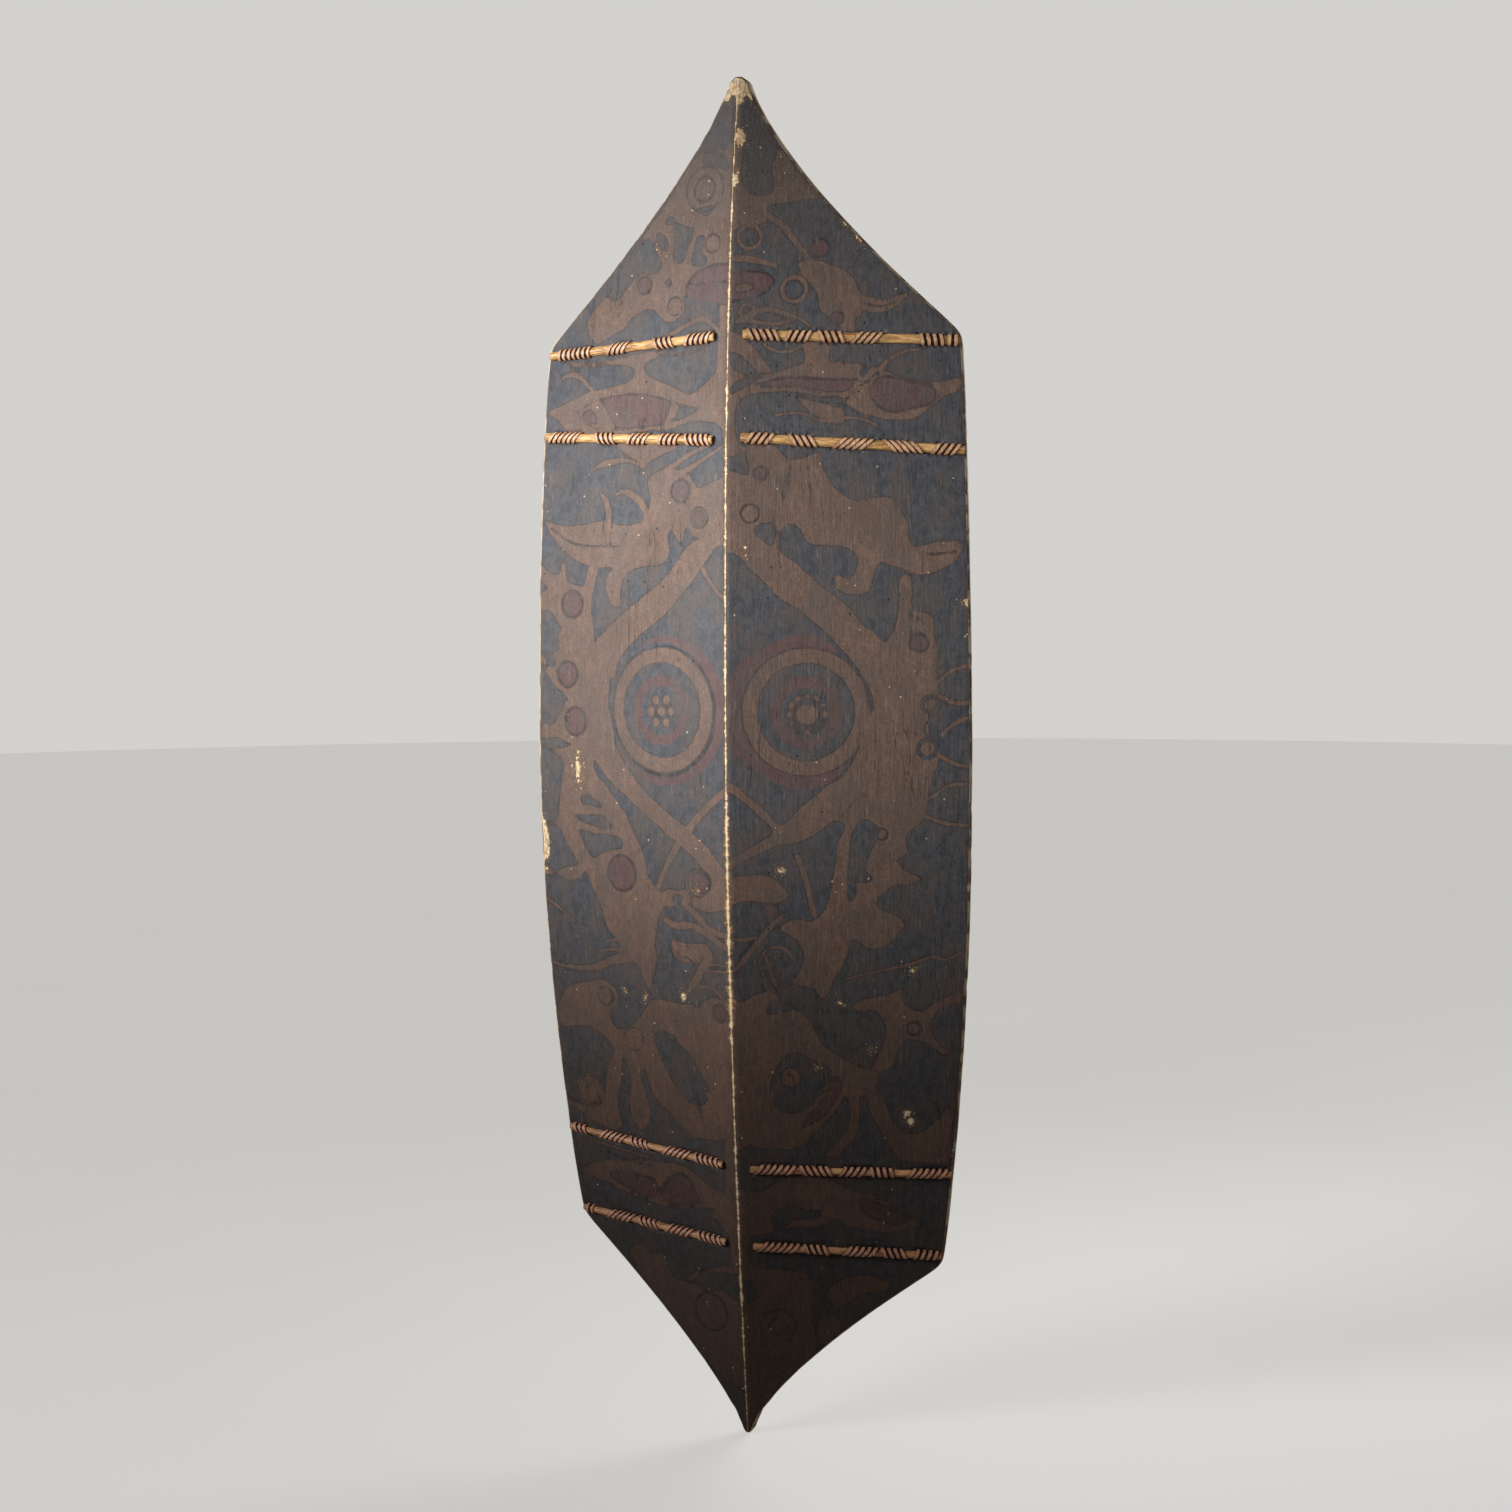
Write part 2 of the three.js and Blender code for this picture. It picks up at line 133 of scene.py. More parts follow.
# One row per pair of laths: side, width, heights of the ends as shares of the half length, middles of
# the bindings as shares of the length from the ridge, loops of each, and leans as shares of the pitch
LATH_ROWS = {
    "upper_outer_left": (-1, 9.0, (0.626, 0.616), (0.07, 0.3, 0.575, 0.845),
                         (5, 4, 4, 7), (0.9, -0.7, 1.5, 0.3)),
    "upper_inner_left": (-1, 9.0, (0.479, 0.495), (0.078, 0.25, 0.43, 0.63, 0.88),
                         (5, 4, 4, 4, 6), (-0.6, 0.8, 1.3, -0.7, 1.5)),
    "upper_outer_right": (1, 9.0, (0.628, 0.618), (0.06, 0.22, 0.405, 0.57, 0.865, 0.96),
                          (5, 4, 4, 4, 4, 2), (-0.9, 0.9, -0.8, 1.6, -0.4, 0)),
    "upper_inner_right": (1, 9.0, (0.482, 0.462), (0.085, 0.275, 0.5, 0.72, 0.915),
                          (4, 4, 5, 5, 4), (1.2, -1.2, 2.0, -2, 1.2)),
    "lower_inner_left": (-1, 7.8, (-0.58, -0.561), (0.07, 0.3, 0.53, 0.715, 0.95),
                         (5, 5, 4, 5, 3), (-0.8, 1.4, -1.2, 1.4, -0.8)),
    "lower_outer_left": (-1, 7.8, (-0.7, -0.689), (0.078, 0.325, 0.53, 0.735, 0.95),
                         (5, 5, 4, 5, 2), (-0.9, 1.4, -1.2, 1.6, 0)),
    "lower_inner_right": (1, 7.8, (-0.584, -0.595), (0.08, 0.262, 0.463, 0.65, 0.9),
                          (6, 5, 4, 4, 6), (1.3, -1, 1.1, -0.4, 1.3)),
    "lower_outer_right": (1, 7.8, (-0.703, -0.721), (0.1, 0.3, 0.56, 0.74, 0.93),
                          (6, 4, 5, 4, 4), (1.5, -0.8, 1.3, -0.8, 0.6)),
}

# Painted figures, in millimetres. The numbers of one place stand together: its distance along the face
# from the ridge, then its height. Each row is laid over the rows before it. A fill is a closed outline,
# and a band is a stroke with widths spread along it. An arc gives its centre, its radius and widths, and
# two angles in degrees. Each disc adds its radius to its place, and each ring its radius and width.
# Petals stand round a centre: how far out, their radius and their number
G, B, R, D, W = "ground", "figure", "accent", "line", "bare"

LEFT_FACE = [
    ("fill", B, (-12,420, -9,400, -9,388, -11,372, -11,356, -17,347, -28,339, -40,334, -52,338, -66,344,
     -80,349, -88,354, -91,361, -84,366, -70,369, -50,368, -34,370, -22,375, -34,373, -52,371, -70,373,
     -90,374, -110,371, -130,369, -152,368, -182,369, -168,364, -150,363, -130,364, -112,362, -104,359,
     -104,353, -112,348, -126,345, -142,343, -158,341, -176,335, -190,330, -205,325, -195,319, -186,311,
     -177,305, -150,302, -100,302, -62,304, -46,307, -30,309, -14,307, -4,301, -2,285, -3,300, 4,300,
     4,420)),
    ("band", B, (2, 6, 3), (-193,350, -186,356, -175,358, -165,354, -157,347, -149,341)),
    ("band", B, (3, 6, 4), (-72,384, -56,390, -42,396, -29,399, -18,394, -8,384)),
    ("fill", D, (-171,323, -158,330, -146,334, -128,337, -104,338, -86,336, -70,332, -58,328, -44,324,
     -29,320, -42,316, -52,312, -64,309, -78,306, -104,305, -128,305, -148,307, -160,313)),
    ("fill", B, (-168,322, -158,328, -148,332, -144,328, -140,318, -136,308, -148,309, -158,315)),
    ("fill", R, (-163,321, -154,325, -149,322, -146,312, -155,314)),
    ("fill", B, (-149,330, -141,331, -125,309, -135,307)),
    ("fill", R, (-139,333, -122,336, -104,336.5, -86,334.5, -71,331, -61,327, -63,318, -67,311, -77,308,
     -102,307, -122,308, -131,320)),
    ("fill", B, (-60,327, -52,323, -56,315, -66,309, -70,309, -64,317)),
    ("fill", G, (-51,323, -31,319.5, -50,312, -60,311, -54,316)),
    ("fill", B, (-124,294, -116,286, -107,281, -99,276, -91,267, -87,273, -76,279, -62,284, -50,289,
     -40,293)),
    ("band", B, (1, 7, 5, 3), (-155,267, -142,274, -126,277, -110,278, -96,273)),
    ("band", B, (6, 6, 4, 2), (-68,266, -54,273, -41,280, -26,286, -10,290)),
    ("band", B, (6, 5, 4, 2), (-52,264, -38,269, -24,276, -10,283, -2,287)),
    ("fill", B, (2,258, -8,258, -18,255, -30,251, -34,256, -40,263, -52,268, -66,269, -78,266, -86,261,
     -86,252, -83,243, -85,233, -90,228, -94,223, -108,220, -124,221, -136,224, -152,223, -168,221,
     -182,220, -196,223, -209,226, -203,218, -196,208, -186,199, -174,191, -160,185, -146,182, -127,182,
     -132,176, -135,167, -133,158, -128,149, -119,146, -115,149, -117,156, -116,165, -112,173, -105,179,
     -94,182, -80,183, -70,185, -63,191, -60,199, -63,206, -62,212, -58,214, -53,207, -49,202, -46,206,
     -44,214, -39,208, -37,203, -32,208, -28,207, 2,207)),
    ("band", B, (2, 7, 7, 5), (-141,250, -134,241, -131,231, -131,220)),
    ("band", B, (1, 6, 8, 7), (-126,246, -114,250, -102,246, -92,238, -86,228)),
    ("band", D, (1.5, 1.5), (-91,247, -86,240, -85,232)),
    ("fill", G, (-43,216, -38,213, -35,206, -38,202, -42,207)),
    ("band", D, (1.5, 2.4, 1.8, 1), (-200,219, -187,211, -174,205, -158,202, -138,201.5, -115,201)),
    ("band", D, (1.4, 1.4), (-135,232, -137,222, -137,212)),
    ("band", D, (1.4, 1.4), (-126,236, -127,222, -129,204)),
    ("rings", D, (-49,249,10.5,2)),
    ("discs", R, (-49,249,9.5)),
    ("rings", D, (-28,225,9,2.4)),
    ("discs", R, (-28,225,6.5)),
    ("fill", B, (2,222, -14,214, -28,207, -38,203, -48,193, -56,184, -66,174, -80,163, -96,153, -112,143,
     -128,131, -141,121, -147,113, -147,90, -126,82, -121,95, -112,107, -100,117, -88,126, -75,134, -62,144,
     -50,155, -38,166, -29,177, -20,187, -10,197, 2,206)),
    ("band", B, (5, 5, 4, 4), (-24,180, -16,169, -7,159, 2,150)),
    ("fill", B, (-154,183, -158,174, -160,165, -168,167, -179,170, -181,178, -183,190, -187,186, -188,179,
     -193,176, -203,178, -210,186, -216,180, -212,170, -204,164, -212,160, -218,154, -216,142, -206,143,
     -199,141, -194,134, -187,127, -191,119, -190,109, -199,104, -208,106, -216,100, -212,94, -206,92,
     -208,84, -202,74, -192,66, -182,62, -188,56, -194,50, -196,42, -206,40, -216,34, -214,26, -200,24,
     -188,22, -192,18, -206,20, -216,18, -204,14, -190,8, -186,2, -189,-14, -192,-32, -196,-50, -206,-53,
     -216,-52, -208,-57, -196,-56, -189,-63, -181,-76, -171,-90, -184,-93, -198,-98, -212,-97, -212,-103,
     -196,-102, -182,-107, -170,-103, -162,-97, -157,-106, -151,-118, -145,-131, -139,-146, -128,-157,
     -118,-168, -110,-172, -96,-176, -84,-170, -82,-150, -76,-128, -66,-116, -84,-102, -90,-92, -92,-80,
     -99,-66, -107,-51, -114,-40, -126,-26, -140,-12, -149,-2, -149,7, -140,-3, -128,-14, -116,-22,
     -102,-32, -88,-42, -74,-51, -58,-61, -48,-58, -42,-50, -58,-41, -74,-30, -88,-20, -100,-9, -110,2,
     -118,12, -124,26, -128,44, -132,60, -130,84, -146,113, -148,124, -151,140, -150,156, -146,170,
     -142,183)),
    ("rings", D, (-174,149,12.5,2.4)),
    ("discs", R, (-174,149,11)),
    ("fill", G, (-208,102, -200,101, -195,97, -197,92, -203,93)),
    ("rings", D, (-180,85,12,2.4)),
    ("discs", R, (-180,85,10.5)),
    ("band", G, (1.5, 4, 5, 2), (-204,84, -199,74, -190,67, -180,62)),
    ("fill", G, (-205,60, -199,62, -190,60, -184,57, -190,50, -195,42, -204,38, -208,48)),
    ("rings", D, (-171,42,13,2.4)),
    ("discs", R, (-171,42,11.5)),
    ("fill", G, (-206,24, -194,26, -184,23, -176,20, -190,17, -206,16)),
    ("fill", G, (-166,-27, -156,-26, -146,-31, -141,-36, -152,-35, -164,-33)),
    ("fill", G, (-173,-45, -160,-44, -146,-43, -136,-47, -128,-54, -140,-55, -156,-52, -168,-49)),
    ("fill", G, (-169,-58, -156,-60, -140,-61, -126,-61, -118,-65, -119,-72, -127,-73, -137,-76, -146,-80,
     -153,-83, -160,-76, -165,-67)),
    ("rings", D, (-119.5,-95,16.5,2.6)),
    ("discs", R, (-119.5,-95,15)),
    ("arc", R, (-69, 55), (63.5, 3, 11, 11, 8, 2), (108, -150)),
    ("arc", D, (-69, 55), (57.5, 2, 2, 3, 5, 5, 2), (160, -165)),
    ("rings", B, (-69.5,55,49,14)),
    ("discs", G, (-71.5,55.5,42)),
    ("rings", R, (-71.5,55,26.5,9)),
    ("petals", B, (-71, 54), 11.8, 4.6, 6),
    ("discs", B, (-71,54,4.8)),
    ("band", B, (7, 8, 8, 7, 6), (3,-11, -14,-24, -30,-38, -44,-53, -57,-69, -68,-86, -77,-104)),
    ("fill", B, (-50,-56, -42,-51, -30,-58, -20,-65, -10,-76, -3,-83, 2,-88, 2,-116, -8,-121, -20,-124,
     -31,-122, -40,-117, -36,-110, -27,-109, -20,-103, -18,-95, -21,-89, -27,-85, -34,-78, -43,-71,
     -52,-65)),
    ("discs", B, (-34,-99,13)),
    ("rings", D, (-31,-98,12.5,2.2)),
    ("discs", R, (-31,-98,9)),
    ("fill", B, (-68,-106, -56,-106, -46,-104, -40,-114, -46,-120, -54,-119, -66,-122, -76,-116)),
    ("fill", G, (-61,-113, -55,-110, -50,-112, -52,-117, -58,-118)),
    ("band", B, (5, 7, 7, 6, 6), (-50,-117, -38,-125, -28,-133, -16,-141, 3,-144)),
    ("band", B, (7, 7, 7, 7), (-70,-134, -60,-138, -42,-137, -28,-141, -12,-150, 3,-156)),
    ("fill", B, (-64,-152, -54,-153, -40,-153, -26,-152, -20,-158, -14,-166, -22,-166, -34,-170, -44,-171,
     -56,-170, -63,-164)),
    ("band", D, (1.2, 1.2), (-58,-157, -46,-156, -36,-157)),
    ("band", D, (1.4, 1.4), (-58,-169, -48,-166, -40,-170)),
    ("band", B, (9, 9, 8, 5), (-22,-163, -29,-174, -37,-186, -46,-197, -54,-203)),
    ("band", B, (3, 3), (-22,-171, -10,-170, 3,-171)),
    ("band", B, (3, 3), (-24,-177, -10,-176, 3,-177)),
    ("band", B, (5, 4, 4, 3), (-33,-193, -23,-191, -13,-196, -2,-206)),
    ("band", B, (2, 2, 2), (-76,-163, -75,-172, -71,-180, -64,-184)),
    ("band", B, (1.6, 1.6), (-87,-191, -83,-183, -75,-180)),
    ("band", B, (10, 8, 5, 2), (-112,-172, -135,-178, -160,-187, -190,-188, -212,-184)),
    ("fill", B, (-112,-174, -104,-180, -98,-190, -94,-200, -92,-206, -89,-198, -87,-188, -83,-178, -82,-165,
     -100,-165)),
    ("band", B, (3, 2), (-127,-157, -142,-160)),
    ("band", B, (3, 2), (-122,-166, -140,-168, -152,-172)),
    ("band", B, (4, 3, 1), (-212,-124, -196,-133, -180,-143, -164,-148)),
    ("fill", B, (-196,-216, -190,-208, -178,-203, -165,-200, -150,-197, -140,-198, -132,-203, -128,-210,
     -131,-218, -138,-226, -138,-233, -131,-241, -122,-240, -112,-235, -104,-228, -97,-218, -92,-213,
     -85,-208, -70,-208, -55,-210, -42,-208, -30,-205, -20,-200, -8,-203, 2,-207, 2,-330, -10,-331,
     -25,-333, -40,-334, -50,-332, -60,-325, -68,-317, -78,-310, -87,-303, -93,-295, -97,-285, -101,-276,
     -104,-285, -98,-305, -96,-318, -100,-330, -108,-335, -117,-326, -120,-310, -118,-292, -120,-276,
     -126,-268, -127,-285, -132,-300, -134,-318, -130,-334, -142,-339, -165,-333, -185,-325, -205,-320,
     -205,-315, -185,-318, -165,-320, -153,-315, -149,-303, -147,-290, -143,-275, -135,-262, -142,-255,
     -152,-248, -165,-243, -180,-244, -198,-246, -206,-240, -202,-228)),
    ("band", D, (2, 2, 2), (-150,-205, -142,-203, -135,-208, -134,-216, -140,-220)),
    ("fill", G, (-88,-243, -84,-240, -78,-237, -70,-239, -65,-240, -60,-247, -52,-252, -45,-258, -40,-265,
     -36,-272, -30,-280, -27,-287, -28,-293, -32,-300, -38,-303, -46,-302, -53,-298, -60,-292, -68,-283,
     -74,-274, -79,-265, -84,-256, -88,-249)),
    ("rings", D, (-12,-214,8,2)),
    ("discs", R, (-12,-214,6)),
    ("fill", G, (-42,-205, -38,-203, -33,-208, -36,-212, -42,-209)),
    ("discs", B, (-168,-304,16)),
    ("rings", D, (-168,-304,13.5,1.8)),
    ("arc", D, (-166, -305), (6.5, 1.6, 1.6), (80, 280)),
    ("rings", D, (-112,-249,11,1.4, -144,-212,8,1.6)),
    ("fill", B, (-190,-388, -178,-381, -165,-374, -150,-370, -130,-367, -105,-364, -85,-362, -70,-361,
     -55,-364, -42,-370, -28,-378, -10,-380, 2,-378, 2,-398, -15,-397, -30,-398, -45,-400, -60,-402,
     -75,-405, -90,-404, -105,-402, -120,-400, -135,-397, -150,-392, -165,-390, -180,-389)),
    ("fill", R, (-88,-392, -82,-380, -72,-373, -60,-371, -52,-376, -46,-386, -44,-395, -60,-399, -78,-400)),
    ("fill", R, (-148,-381, -120,-380, -95,-380, -92,-390, -98,-398, -120,-396, -140,-389)),
    ("band", D, (2,), (-140,-378, -115,-378, -92,-380)),
    ("band", D, (2,), (-72,-372, -62,-370, -53,-375, -48,-385)),
    ("band", D, (2,), (-86,-391, -80,-382, -74,-376)),
    ("band", D, (2,), (-150,-362, -125,-366, -95,-368)),
    ("fill", B, (-10,-330, -12,-350, -14,-380, -28,-402, -20,-412, -10,-425, -8,-450, 4,-450, 4,-330)),
    ("band", B, (3, 3), (-175,-352, -140,-356, -100,-360)),
    ("band", B, (7, 7, 6), (3,-451, -20,-455, -42,-461, -58,-470)),
    ("fill", B, (-100,-455, -90,-450, -84,-458, -80,-470, -70,-474, -58,-474, -48,-476, -40,-479, -20,-476,
     -8,-482, 0,-490, 0,-560, -20,-562, -45,-545, -70,-520, -95,-498, -120,-470, -128,-455, -118,-446,
     -108,-450)),
    ("rings", D, (-35,-498,18,3)),
    ("fill", G, (-45,-462, -30,-459, -5,-458, -3,-474, -18,-474, -32,-470, -46,-472)),
    ("fill", B, (-150,385, -135,388, -117,396, -108,404, -92,411, -82,410, -74,402, -66,398, -56,400,
     -50,404, -47,412, -45,420, -47,427, -40,436, -28,442, -12,447, 2,448, 2,548, -10,546, -30,548, -45,540,
     -70,508, -100,474, -92,475, -86,471, -83,463, -78,455, -75,450, -79,444, -90,443, -98,445, -104,441,
     -110,436, -117,430, -122,424, -128,422, -134,424, -138,427, -160,405)),
    ("fill", G, (-82,478, -75,477, -70,471, -68,465, -72,462, -78,466)),
    ("fill", G, (-72,490, -66,492, -62,489, -66,485, -72,486)),
    ("fill", G, (-63,487, -55,484, -47,481, -41,479, -42,470, -46,462, -48,455, -52,450, -58,450, -62,455,
     -62,475)),
    ("fill", G, (-37,470, -30,472, -28,466, -32,460, -30,455, -25,451, -28,446, -38,446, -42,450, -40,458)),
    ("fill", G, (-38,496, -30,490, -22,492, -20,497, -27,497)),
    ("fill", G, (-32,535, -30,545, -10,540, -5,528, -20,532)),
    ("rings", D, (-30,513,11,2.4, -30,513,20,2, -19,464,8,2)),
    ("discs", R, (-94,433,8)),
    ("rings", D, (-94,433,8,2)),
    ("discs", D, (-67,433,4)),
    ("rings", D, (-59,412,8,2)),
    ("fill", R, (-47,427, -40,436, -28,442, -12,444, 2,443, 2,411, -15,412, -30,415, -45,420)),
    ("band", D, (2, 2), (-40,429, -20,430, 0,429)),
    ("band", D, (2, 2), (-47,428, -40,437, -28,443, -12,445, 0,444)),
    ("fill", G, (-48,420, -30,413, -10,408, -20,402, -40,404, -47,411)),
    ("fill", W, (2,592, -5,594, -9,589, -20,592, -20,625, 2,625)),
    ("fill", W, (-171,15, -168,14, -168,8, -171,9)),
    ("fill", W, (-172,5, -168,6, -166,-2, -167,-10, -170,-12, -172,-4)),
    ("fill", W, (-169,-12, -166,-13, -165,-19, -168,-18)),
    ("discs", W, (-175,1,1.3, -163,3,1.2)),
    ("discs", D, (-178,-4,2, -176,-10,1.6)),
    ("fill", W, (-220,-46, -212,-48, -209,-56, -206,-68, -206,-82, -210,-88, -220,-90)),
    ("fill", W, (-220,-94, -210,-95, -209,-99, -220,-100)),
    ("fill", W, (-55,-201, -52,-199, -49,-203, -53,-206)),
    ("discs", W, (-33,-104,1.6, -120,-204,1.8, -97,-208,1.6, -29,-291,1.8)),
    ("fill", R, (-40,4, -36,6, -30,3, -32,-2, -38,-1)),
]

